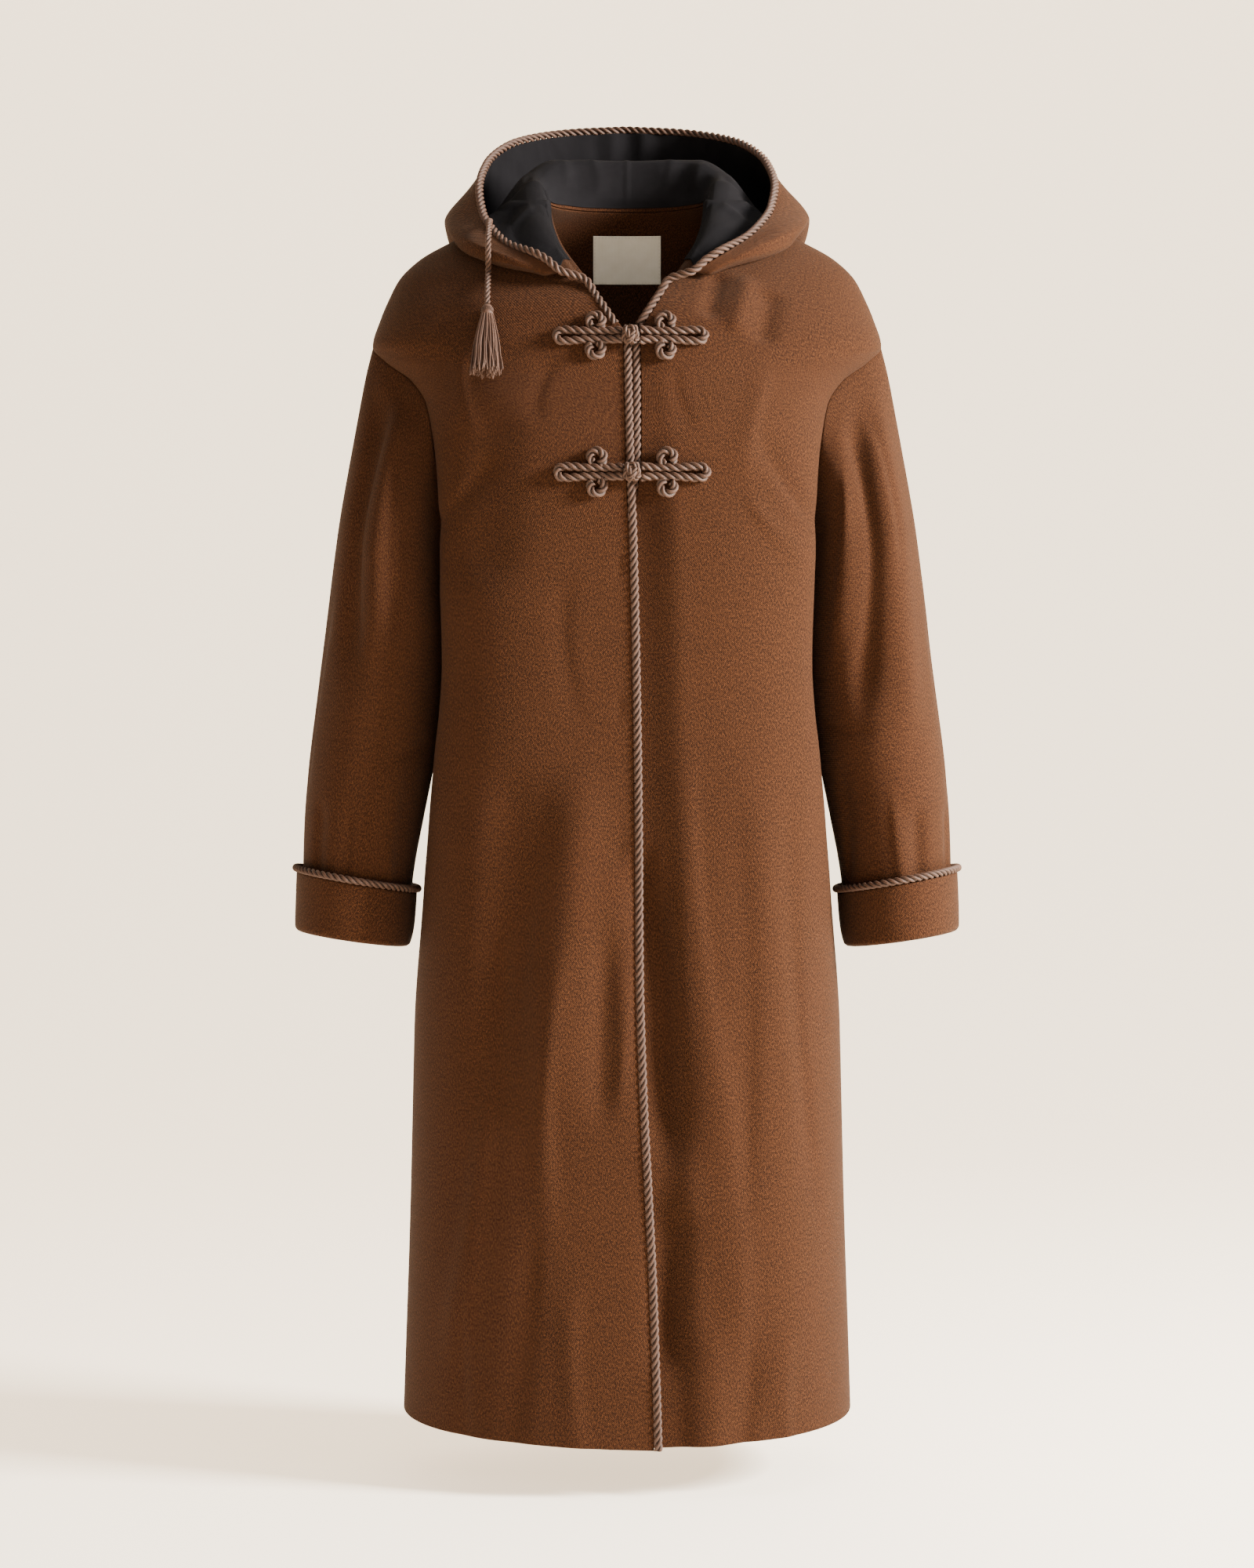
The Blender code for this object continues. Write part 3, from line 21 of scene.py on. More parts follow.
import bpy
import numpy as np
from numpy.typing import ArrayLike
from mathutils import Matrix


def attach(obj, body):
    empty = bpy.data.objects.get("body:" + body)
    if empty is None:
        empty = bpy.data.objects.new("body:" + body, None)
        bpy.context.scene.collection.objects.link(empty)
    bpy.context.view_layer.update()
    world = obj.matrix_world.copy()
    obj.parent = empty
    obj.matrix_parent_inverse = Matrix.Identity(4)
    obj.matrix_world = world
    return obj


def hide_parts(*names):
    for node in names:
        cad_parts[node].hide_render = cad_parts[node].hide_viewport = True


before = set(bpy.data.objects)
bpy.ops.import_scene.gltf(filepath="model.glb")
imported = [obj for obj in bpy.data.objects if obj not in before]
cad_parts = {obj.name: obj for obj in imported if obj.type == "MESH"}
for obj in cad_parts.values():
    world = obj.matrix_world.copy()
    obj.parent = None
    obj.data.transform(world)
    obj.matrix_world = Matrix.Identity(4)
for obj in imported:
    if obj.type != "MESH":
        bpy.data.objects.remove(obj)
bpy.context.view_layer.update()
LOG = logging.getLogger("coat")


# Driving sizes
CLOTH = 0.0020
LINING = 0.0010
LINING_GAP = 0.0005
LABEL = 0.0010
SEAM_GAP = 0.0003
LABEL_NEAR = CLOTH + SEAM_GAP * 2
WOOL_ROUND = 0.0010
FINE_ROUND = 0.0005
EDGE_CORD = 0.0038
CUFF_CORD = 0.0032
FROG_CORD = 0.0036
TASSEL_CORD = 0.0030
NECK_TOP = 0.060
SHOULDER_TIP = -0.087
ARMPIT = -0.262
BACK_HEM_DROP = 0.006
ARMHOLE_FORWARD = 0.056
ARMHOLE_STEPS = 24.0
ARMHOLE_MIDDLE = (0.196, 0.004, -0.170)
HOLLOW_REACH = 0.78

# The body's level sections. The middle is how far back the side seam lies.
BODY_SECTIONS = (
    ("height", "half_width", "front", "back", "squareness", "hollow", "middle"),
    (-1.170, 0.2200, 0.164, 0.160, 2.30, 0.000, 0.000),
    (-1.120, 0.2185, 0.163, 0.159, 2.30, 0.000, 0.000),
    (-0.924, 0.2120, 0.156, 0.153, 2.45, 0.000, 0.000),
    (-0.751, 0.2080, 0.148, 0.147, 2.60, 0.000, 0.000),
    (-0.620, 0.2040, 0.141, 0.142, 2.80, 0.006, 0.000),
    (-0.549, 0.2035, 0.138, 0.140, 2.95, 0.014, 0.000),
    (-0.490, 0.2010, 0.135, 0.138, 3.10, 0.022, 0.000),
    (-0.440, 0.1965, 0.133, 0.137, 3.20, 0.028, 0.000),
    (-0.405, 0.1945, 0.132, 0.136, 3.25, 0.030, 0.000),
    (-0.330, 0.1975, 0.130, 0.136, 3.25, 0.034, 0.000),
    (-0.262, 0.2000, 0.128, 0.136, 3.20, 0.034, 0.000),
    (-0.200, 0.2025, 0.125, 0.135, 3.00, 0.024, 0.000),
    (-0.150, 0.2060, 0.121, 0.132, 2.80, 0.010, 0.002),
    (-0.125, 0.2170, 0.118, 0.129, 2.60, 0.004, 0.003),
    (-0.105, 0.2370, 0.115, 0.125, 2.40, 0.000, 0.004),
    (-0.087, 0.2500, 0.112, 0.121, 2.25, 0.000, 0.005),
    (-0.060, 0.2425, 0.105, 0.115, 2.15, 0.000, 0.007),
    (-0.040, 0.2345, 0.094, 0.109, 2.10, 0.000, 0.009),
    (-0.020, 0.2245, 0.080, 0.101, 2.05, 0.000, 0.011),
    (0.000, 0.2050, 0.062, 0.092, 2.00, 0.000, 0.014),
    (0.018, 0.1750, 0.046, 0.083, 2.00, 0.000, 0.018),
    (0.034, 0.1420, 0.032, 0.075, 2.00, 0.000, 0.022),
    (0.048, 0.1120, 0.018, 0.066, 2.00, 0.000, 0.026),
    (0.060, 0.0780, 0.006, 0.055, 2.00, 0.000, 0.030),
    (0.075, 0.0500, 0.004, 0.040, 2.00, 0.000, 0.034),
)

# Soft folds of the body, each a line on its face with a half width and a height, negative
# where it is a trough. Positions are as seen from the front, +X to the right.
BODY_FOLDS = (
    ("face", "top_x", "top_z", "low_x", "low_z", "half_width", "height"),
    ("front", 0.014, -0.560, 0.052, -0.900, 0.020, -0.0095),
    ("front", 0.052, -0.900, 0.034, -1.080, 0.020, -0.0060),
    ("front", 0.120, -0.420, 0.160, -1.200, 0.040, 0.0060),
    ("front", 0.080, -1.010, 0.082, -1.200, 0.014, 0.0035),
    ("front", -0.038, -0.480, -0.072, -0.850, 0.024, 0.0070),
    ("front", -0.108, -0.480, -0.128, -0.860, 0.024, -0.0060),
    ("front", -0.112, -0.700, -0.168, -1.080, 0.013, 0.0050),
    ("front", -0.020, -0.640, -0.024, -0.850, 0.012, -0.0040),
    ("front", -0.132, -0.140, -0.140, -0.340, 0.034, -0.0055),
    ("front", 0.090, -0.020, 0.076, -0.075, 0.010, -0.0045),
    ("front", 0.118, -0.024, 0.100, -0.090, 0.010, 0.0040),
    ("front", 0.140, -0.040, 0.128, -0.100, 0.011, -0.0045),
    ("back", 0.060, -0.420, 0.094, -1.200, 0.026, 0.0065),
    ("back", 0.006, -0.500, 0.012, -1.200, 0.024, -0.0065),
    ("back", -0.062, -0.440, -0.104, -1.200, 0.026, 0.0070),
    ("back", 0.140, -0.180, 0.150, -0.420, 0.024, -0.0050),
    ("back", -0.138, -0.190, -0.152, -0.440, 0.024, -0.0050),
)
FOLD_FADE = 0.22

# Rows of a panel: heights on its outer edge, and on the front's centre edge
EDGE_ROWS = (
    ("outer", "centre"),
    (-1.1235, -1.138), (-1.060, -1.070), (-0.980, -0.988), (-0.890, -0.896), (-0.800, -0.804),
    (-0.710, -0.712), (-0.625, -0.627), (-0.549, -0.550), (-0.475, -0.476), (-0.405, -0.406),
    (-0.330, -0.336), (-0.262, -0.276), (-0.225, -0.244), (-0.190, -0.216), (-0.158, -0.192),
    (-0.128, -0.171), (-0.105, -0.154), (-0.087, -0.138), (-0.045, -0.124), (-0.008, -0.112),
    (0.022, -0.101), (0.044, -0.091), (0.060, -0.083),
)
LAST_ROW = len(EDGE_ROWS) - 2
NECK_BACK_STEPS = 13
NECK_FRONT_STEPS = 8
NECK_SHOULDER = 0.46

# The neck seam and neck edge on a front, from its shoulder to its centre
NECKLINE = (
    ("along", "x", "z"),
    (0.00, 0.0780, 0.0600),
    (0.22, 0.0755, 0.0350),
    (0.45, 0.0690, 0.0105),
    (0.70, 0.0480, -0.0270),
    (1.00, 0.0130, -0.0830),
)
HOOD_FRONT_END = 0.70

# The two centre edges: the upper front laps over the lower one below the second frog
UPPER_FRONT_EDGE = (
    ("height", "x"),
    (-1.170, 0.0262), (-1.068, 0.0232), (-0.990, 0.0205), (-0.895, 0.0158), (-0.800, 0.0110),
    (-0.690, 0.0078), (-0.560, 0.0070), (-0.420, 0.0050), (-0.290, 0.0020), (-0.215, -0.0008),
    (-0.150, -0.0024), (-0.095, -0.0034), (-0.060, -0.0040),
)
LOWER_FRONT_EDGE = (
    ("height", "x", "tucked"),
    (-1.170, -0.0120, 0.0090), (-0.800, -0.0140, 0.0090), (-0.450, -0.0180, 0.0090),
    (-0.340, -0.0150, 0.0092), (-0.276, -0.0010, 0.0098), (-0.244, 0.0085, 0.0092),
    (-0.216, 0.0128, 0.0060), (-0.192, 0.0134, 0.0040), (-0.150, 0.0134, 0.0036),
    (-0.095, 0.0130, 0.0034), (-0.060, 0.0130, 0.0030),
)
TUCK_NEAR = 0.008
TUCK_FAR = 0.050

# Sleeve rings, from the armhole to the hem: outer and inner side in the coat's own plane
SLEEVE_RINGS = (
    ("ring", "outer_x", "outer_z", "inner_x", "inner_z", "half_depth", "freed"),
    (0.0, 0.2500, -0.087, 0.1660, -0.262, 0.062, 0.00),
    (1.0, 0.2600, -0.132, 0.1730, -0.290, 0.071, 0.35),
    (2.0, 0.2710, -0.190, 0.1750, -0.325, 0.076, 0.75),
    (3.0, 0.2830, -0.265, 0.1765, -0.372, 0.077, 1.00),
    (4.0, 0.2940, -0.350, 0.1800, -0.425, 0.075, 1.00),
    (5.0, 0.3040, -0.430, 0.1875, -0.485, 0.073, 1.00),
    (6.0, 0.3130, -0.505, 0.1990, -0.545, 0.070, 1.00),
    (7.0, 0.3170, -0.565, 0.2085, -0.595, 0.068, 1.00),
    (8.0, 0.3185, -0.636, 0.2160, -0.655, 0.066, 1.00),
)
SLEEVE_CLEARANCE = 0.0042

# Sleeve folds run down the sleeve at an angle round it: 0 outer side, 90 front, 180 inner
SLEEVE_FOLDS = (
    ("side", "top_ring", "top_turn", "low_ring", "low_turn", "half_turn", "height"),
    (1, 0.4, 60.0, 5.0, 112.0, 16.0, -0.0065),
    (1, 0.6, 40.0, 5.6, 66.0, 15.0, 0.0045),
    (1, 6.2, 70.0, 8.4, 74.0, 9.0, -0.0040),
    (1, 6.4, 24.0, 8.4, 26.0, 8.0, -0.0035),
    (1, 1.0, 250.0, 5.5, 262.0, 18.0, -0.0055),
    (-1, 0.5, 58.0, 4.2, 88.0, 13.0, 0.0060),
    (-1, 0.5, 34.0, 4.8, 62.0, 13.0, -0.0055),
    (-1, 6.2, 50.0, 8.4, 50.0, 8.0, -0.0035),
    (-1, 1.0, 256.0, 5.5, 250.0, 18.0, -0.0055),
)

# The cuff's turned cloth, from the seam inside to the free top edge outside: height above
# the fold and how far the layer stands off the sleeve's own line
CUFF_TURN = (
    ("height", "stand_off"),
    (0.0221, -0.0010), (0.0050, -0.0010), (0.0012, 0.0002), (0.0000, 0.0024),
    (0.0014, 0.0044), (0.0060, 0.0056), (0.0320, 0.0060), (0.0580, 0.0060),
)
CUFF_RINGS = (
    ("height", "outer_x", "outer_z", "inner_x", "inner_z", "half_depth"),
    (0.0000, 0.3195, -0.6585, 0.2200, -0.6735, 0.0655),
    (0.0225, 0.3186, -0.6363, 0.2161, -0.6553, 0.0660),
    (0.0620, 0.3172, -0.5985, 0.2130, -0.6170, 0.0665),
)
CUFF_CORD_OUT = 0.0016

# The hood's sections, from the middle of the back (0) to the end of its seam at the front (1).
# Out and up are measured from the neck seam towards the rim. Across it, the seam is 0, the
# points rise, roll, pit, low and high are 1 to 5, and the rim is 6.
HOOD_SECTIONS = (
    ("round", "rise_out", "rise_up", "roll_out", "roll_up", "pit_out", "pit_up",
     "low_out", "low_up", "high_out", "high_up", "rim_x", "rim_y", "rim_z"),
    (0.00, 0.0020, 0.048, 0.014, 0.050, 0.050, -0.120, 0.100, -0.122, 0.122, -0.090,
     0.0000, 0.188, 0.161),
    (0.12, 0.0030, 0.048, 0.018, 0.050, 0.052, -0.112, 0.102, -0.114, 0.124, -0.084,
     0.0600, 0.178, 0.156),
    (0.25, 0.0120, 0.046, 0.030, 0.049, 0.062, -0.060, 0.104, -0.076, 0.124, -0.052,
     0.1150, 0.136, 0.138),
    (0.36, 0.0130, 0.029, 0.031, 0.032, 0.063, -0.018, 0.098, -0.047, 0.116, -0.028,
     0.1420, 0.085, 0.108),
    (0.48, 0.0100, 0.018, 0.024, 0.018, 0.056, -0.010, 0.088, -0.025, 0.104, -0.010,
     0.1490, 0.038, 0.079),
    (0.62, 0.0080, 0.012, 0.020, 0.012, 0.050, -0.006, 0.082, -0.019, 0.097, -0.005,
     0.1440, -0.002, 0.049),
    (0.75, 0.0060, 0.008, 0.016, 0.008, 0.036, -0.008, 0.064, -0.027, 0.074, -0.012,
     0.1230, -0.050, 0.016),
    (0.88, 0.0040, 0.002, 0.010, 0.000, 0.021, -0.011, 0.034, -0.0255, 0.040, -0.0215,
     0.0830, -0.082, -0.014),
    (0.94, 0.0028, 0.0006, 0.006, -0.001, 0.011, -0.005, 0.016, -0.0095, 0.0205, -0.0115,
     0.0665, -0.0838, -0.0238),
    (1.00, 0.0016, -0.001, 0.0032, -0.0019, 0.0048, -0.0028, 0.0066, -0.0039, 0.0088, -0.0052,
     0.0485, -0.0845, -0.0335),
)
HOOD_DROOP = (
    ("round", "drop"),
    (0.00, 0.000), (0.36, 0.000), (0.60, 0.006), (0.75, 0.007), (0.88, 0.001), (1.00, 0.000),
)
HOOD_RIM = 6.0
HOOD_BY_RIM = 5.4
HOOD_CLEARANCE = 0.0050
HOOD_SLOPE = 0.7
HOOD_END_LIFT = 0.0012
HOOD_END_FROM, HOOD_END_OVER = 0.78, 0.12
RIM_OUT_FROM, RIM_OUT_OVER = 0.72, 0.14

# The rim cord below the hood: its place along the neck edge, inward past it and off the cloth
NECK_CORD = (
    ("along", "inward", "off"),
    (0.985, 0.0041, -0.0010), (0.930, 0.0041, -0.0010), (0.870, 0.0041, -0.0010),
    (0.815, 0.0042, -0.0006), (0.785, 0.0036, 0.0030), (0.750, 0.0008, 0.0056),
)
EDGE_CORD_TOP = -0.104

# Frogs: the knot's place, and the shape of one half measured outwards from the knot
FROG_KNOTS = (("name", "x", "z"), ("upper", 0.0034, -0.0905), ("lower", 0.0048, -0.2220))
FROG_REACH = 0.0745
FROG_ARM = 0.0042
FROG_SLOT = 0.0052
FROG_CURL_OUT = 0.0337
FROG_CURL_UP = 0.0137
FROG_CURL_RADIUS = 0.0072
KNOT_HALF = (0.0086, 0.0072, 0.0100)
KNOT_LIFT = 0.0112
FROG_NECK_LIFT = 0.0034

# Tassel: the cord's route down from the rim, then the head and its strands
TASSEL_X = -0.1335
TASSEL_HEAD_Z = -0.0580
TASSEL_SKIRT = 0.071
TASSEL_CORD_STEPS = 9
TASSEL_CORD_RISE = 0.0020
TASSEL_LIFT_HEIGHTS = (-0.140, -0.090, -0.060, -0.030)
TASSEL_LIFTS = (0.0053, 0.0064, 0.0066, 0.0036)
TASSEL_STRAND = (
    ("run", "spread", "girth"),
    (0.00, 1.00, 0.78), (0.30, 1.75, 0.74), (0.65, 2.35, 0.72), (1.00, 2.60, 0.66),
)

# Label inside the back of the neck
LABEL_HALF_WIDTH = 0.0345
LABEL_TOP = 0.0385
LABEL_FOOT = -0.0085


def column(table: tuple, name: str, at: ArrayLike) -> np.ndarray:
    """Reads one named column of a table smoothly at the first column's values `at`.

    Args:
        table: rows under their column names.
        name: the column's name.
        at: where to read, in its first column.

    Returns:
        the column's values there, by a cubic that doesn't overshoot.
    """
    rows = np.array(table[1:], dtype=float)
    keys = rows[:, 0]
    values = rows[:, table[0].index(name)]
    at = np.clip(np.asarray(at, dtype=float), keys[0], keys[-1])
    step = np.diff(keys)
    slope = np.diff(values) / step
    tangent = np.zeros(len(keys))
    same = slope[:-1] * slope[1:] > 0
    total = np.where(same, slope[:-1] + slope[1:], 1.0)
    tangent[1:-1] = np.where(same, 2 * slope[:-1] * slope[1:] / total, 0.0)
    tangent[0] = slope[0]
    tangent[-1] = slope[-1]
    index = np.clip(np.searchsorted(keys, at, side="right") - 1, 0, len(step) - 1)
    width = step[index]
    t = (at - keys[index]) / width
    return (
        values[index] * (2 * t**3 - 3 * t**2 + 1)
        + width * tangent[index] * (t**3 - 2 * t**2 + t)
        + values[index + 1] * (3 * t**2 - 2 * t**3)
        + width * tangent[index + 1] * (t**3 - t**2)
    )


def unit(vectors: ArrayLike) -> np.ndarray:
    """Vectors of length one.

    Args:
        vectors: any array of vectors.

    Returns:
        the same directions, each of length one.
    """
    length = np.linalg.norm(vectors, axis=-1, keepdims=True)
    return vectors / np.maximum(length, 1e-12)


def ease(t: ArrayLike) -> np.ndarray:
    """Soft step from 0 to 1.

    Args:
        t: the share of the way.

    Returns:
        3 t^2 - 2 t^3, held at 0 and 1 outside.
    """
    t = np.clip(t, 0.0, 1.0)
    return t * t * (3.0 - 2.0 * t)


def section(height: ArrayLike) -> list[np.ndarray]:
    """The body's level section.

    Args:
        height: metres up.

    Returns:
        half width, front depth, back depth, squareness, hollow and middle.
    """
    return [column(BODY_SECTIONS, name, height) for name in BODY_SECTIONS[0][1:]]


def body_form(turn: ArrayLike, height: ArrayLike) -> np.ndarray:
    """The body without folds.

    Args:
        turn: turn round the body.
        height: metres up.

    Returns:
        points of a level oval |x / half|^n + |y / depth|^n = 1, hollowed at the side.
    """
    turn, height = np.broadcast_arrays(np.asarray(turn, float), np.asarray(height, float))
    half, front, back, square, hollow, middle = section(height)
    sine, cosine = np.sin(turn), np.cos(turn)
    depth = np.where(cosine > 0, front, back)
    x = half * np.sign(sine) * np.abs(sine) ** (2.0 / square)
    y = -depth * np.sign(cosine) * np.abs(cosine) ** (2.0 / square)
    reach = np.clip(1.0 - (y / (HOLLOW_REACH * depth)) ** 2, 0.0, None)
    return np.stack([x - np.sign(sine) * hollow * reach**2, y + middle, height], axis=-1)


def body_normal(turn: ArrayLike, height: ArrayLike) -> np.ndarray:
    """Outward direction of the body's form.

    Args:
        turn: turn round the body.
        height: metres up.

    Returns:
        directions, across x up.
    """
    small = 0.002
    across = body_form(turn + small, height) - body_form(turn - small, height)
    upward = body_form(turn, height + small) - body_form(turn, height - small)
    return unit(np.cross(across, upward))


def fold_height(points: np.ndarray, turn: ArrayLike) -> np.ndarray:
    """Height of the body's folds at points on its form.

    Args:
        points: the points.
        turn: turn round the body.

    Returns:
        the summed height: height * exp(-(aside / width)^2), faded at both ends.
    """
    total = np.zeros(points.shape[:-1])
    facing_front = np.cos(turn) > 0
    for face, top_x, top_z, low_x, low_z, half_width, height in BODY_FOLDS[1:]:
        line = np.array([low_x - top_x, low_z - top_z])
        length = np.hypot(*line)
        line = line / length
        offset_x = points[..., 0] - top_x
        offset_z = points[..., 2] - top_z
        along = (offset_x * line[0] + offset_z * line[1]) / length
        aside = offset_x * line[1] - offset_z * line[0]
        fade = ease(along / FOLD_FADE) * ease((1.0 - along) / FOLD_FADE)
        on_face = facing_front if face == "front" else ~facing_front
        total += np.where(on_face, height * np.exp(-((aside / half_width) ** 2)) * fade, 0.0)
    return total


def body(turn: ArrayLike, height: ArrayLike, lift: ArrayLike = 0.0) -> np.ndarray:
    """The body's outer cloth, with its folds, moved out by lift.

    Args:
        turn: turn round the body.
        height: metres up.
        lift: metres off the cloth.

    Returns:
        points: form + normal * (fold + lift).
    """
    turn, height = np.broadcast_arrays(np.asarray(turn, float), np.asarray(height, float))
    points = body_form(turn, height)
    raised = fold_height(points, turn) + lift
    return points + body_normal(turn, height) * raised[..., None]


def front_turn(x: ArrayLike, height: ArrayLike) -> np.ndarray:
    """Turn of the front's form at a sideways place.

    Args:
        x: metres to the left.
        height: metres up.

    Returns:
        the turn whose form lies at x.
    """
    half = column(BODY_SECTIONS, "half_width", height)
    square = column(BODY_SECTIONS, "squareness", height)
    return np.sign(x) * np.arcsin(np.clip(np.abs(x) / half, 0.0, 1.0) ** (square / 2.0))


def seam_turn(height: ArrayLike, side: float, face: str) -> np.ndarray:
    """Turn of a panel's outer edge on one face: side seam, armhole and shoulder seam.

    Args:
        height: metres up.
        side: the side's sign.
        face: front or back.

    Returns:
        the turn of the edge.
    """
    share = np.clip((height - ARMPIT) / (SHOULDER_TIP - ARMPIT), 0.0, 1.0)
    forward = ARMHOLE_FORWARD * np.sin(math.pi * share) ** 0.75
    forward = np.maximum(forward, SEAM_GAP * 0.6)
    depth = column(BODY_SECTIONS, face, height)
    square = column(BODY_SECTIONS, "squareness", height)
    away = np.arccos(np.clip(forward / depth, 0.0, 1.0) ** (square / 2.0))
    return side * (away if face == "front" else math.pi - away)


def neckline(along: ArrayLike, side: float) -> tuple[np.ndarray, np.ndarray]:
    """Turn and height of a front's neck edge, from the shoulder (0) to the centre (1).

    Args:
        along: share of the neck edge from shoulder to centre.
        side: the side's sign.

    Returns:
        turns and heights.
    """
    x = column(NECKLINE, "x", along)
    z = column(NECKLINE, "z", along)
    return side * front_turn(x, z), z


def grid_normal(grid: np.ndarray, closed: bool) -> np.ndarray:
    """Directions square to a grid of points, from its own neighbours.

    Args:
        grid: rows and columns of points.
        closed: whether the columns run round.

    Returns:
        directions, along the row x up the column.
    """
    if closed:
        along = np.roll(grid, -1, axis=1) - np.roll(grid, 1, axis=1)
    else:
        along = np.gradient(grid, axis=1)
    return unit(np.cross(along, np.gradient(grid, axis=0)))


def smooth_path(points: np.ndarray, count: int) -> np.ndarray:
    """A smooth line through a few points, in equal steps.

    Args:
        points: the points.
        count: how many.

    Returns:
        points of a cubic that passes through all of them.
    """
    points = np.asarray(points, float)
    padded = np.vstack([2 * points[0] - points[1], points, 2 * points[-1] - points[-2]])
    a, b, c, d = padded[:-3, None], padded[1:-2, None], padded[2:-1, None], padded[3:, None]
    t = np.linspace(0.0, 1.0, 24, endpoint=False)[:, None]
    dense = 0.5 * (2 * b + (c - a) * t + (2 * a - 5 * b + 4 * c - d) * t**2
                   + (3 * b - a - 3 * c + d) * t**3)
    dense = np.vstack([dense.reshape(-1, points.shape[1]), points[-1:]])
    run = np.cumsum(np.concatenate([[0.0], np.linalg.norm(np.diff(dense, axis=0), axis=1)]))
    shares = np.interp(np.linspace(0.0, run[-1], count), run, np.linspace(0.0, 1.0, len(dense)))
    shares = shares * (len(dense) - 1)
    whole = np.minimum(shares.astype(int), len(dense) - 2)
    rest = (shares - whole)[:, None]
    return dense[whole] * (1 - rest) + dense[whole + 1] * rest


def front_edge(height: ArrayLike, side: float) -> np.ndarray:
    """Sideways place of a front's centre edge. The wearer's right front laps over.

    Args:
        height: metres up.
        side: the side's sign.

    Returns:
        the edge's x.
    """
    table = UPPER_FRONT_EDGE if side < 0 else LOWER_FRONT_EDGE
    return column(table, "x", height)


def front_cloth(
    turn: ArrayLike, height: ArrayLike, side: float, lift: ArrayLike = 0.0,
) -> np.ndarray:
    """A front's outer cloth, with the lower front tucked back.

    Args:
        turn: turn round the body.
        height: metres up.
        side: the side's sign.
        lift: metres off the cloth.

    Returns:
        points: body - normal * how far it is tucked.
    """
    points = body(turn, height, lift)
    if side < 0:
        return points
    level = points[..., 2]
    beyond = points[..., 0] - column(UPPER_FRONT_EDGE, "x", level)
    tucked = ease((TUCK_FAR - beyond) / (TUCK_FAR - TUCK_NEAR))
    tucked = column(LOWER_FRONT_EDGE, "tucked", level) * tucked
    return points - body_normal(turn, height) * tucked[..., None]


def neck_shares() -> np.ndarray:
    """Places of the hood's columns along the neck seam, from one front end to the other.

    Returns:
        falling shares, 1 at the left front end, -1 at the right.
    """
    front = np.linspace(1.0, NECK_SHOULDER, NECK_FRONT_STEPS + 1)
    back = np.linspace(NECK_SHOULDER, -NECK_SHOULDER, NECK_BACK_STEPS + 1)
    return np.concatenate([front, back[1:-1], -front[::-1]])


def neck_seam(share: ArrayLike) -> tuple[np.ndarray, np.ndarray]:
    """The hood's seam on the neck edge. Share is 0 at the back, 1 and -1 at the front ends.

    Args:
        share: place round the neck.

    Returns:
        turns and heights.
    """
    side = np.where(share < 0, -1.0, 1.0)
    size = np.abs(share)
    back_turn = math.pi - side * (math.pi / 2) * np.minimum(size / NECK_SHOULDER, 1.0)
    past = np.clip((size - NECK_SHOULDER) / (1 - NECK_SHOULDER), 0.0, 1.0)
    front_turns, front_height = neckline(HOOD_FRONT_END * past, side)
    on_back = size <= NECK_SHOULDER
    turn = np.where(on_back, back_turn, front_turns)
    height = np.where(on_back, NECK_TOP, front_height)
    return turn, height


def ring_sides(table: tuple, at: ArrayLike, side: float) -> tuple[np.ndarray, np.ndarray]:
    """Middle and half width of an oval ring of a sleeve or cuff table.

    Args:
        table: rows under their column names.
        at: where to read, in its first column.
        side: the side's sign.

    Returns:
        the middles, and the vectors from there to the outer sides.
    """
    outer, inner = [np.stack([side * column(table, edge + "_x", at), 0 * at,
                              column(table, edge + "_z", at)], axis=-1)
                    for edge in ("outer", "inner")]
    return (outer + inner) / 2, (outer - inner) / 2


def ring_points(table: tuple, at: ArrayLike, turn: ArrayLike, side: float) -> np.ndarray:
    """Points of an oval ring of a sleeve or cuff table.

    Args:
        table: rows under their column names.
        at: where to read, in its first column.
        turn: angle round the ring.
        side: the side's sign.

    Returns:
        points: middle + half width * cos(turn), and depth * sin(turn) forwards.
    """
    middle, along = ring_sides(table, at, side)
    points = middle + along * np.cos(turn)[..., None]
    points[..., 1] -= column(table, "half_depth", at) * np.sin(turn)
    return points


def sleeve_clear(points: np.ndarray, ring: np.ndarray) -> np.ndarray:
    """A sleeve's points moved clear of the body, by less near the armhole.

    Args:
        points: the points.
        ring: place down the sleeve, 0 to 8.

    Returns:
        the moved points.
    """
    return clear_of_body(points, SLEEVE_CLEARANCE * np.clip(ring / 0.30, 0.0, 1.0))


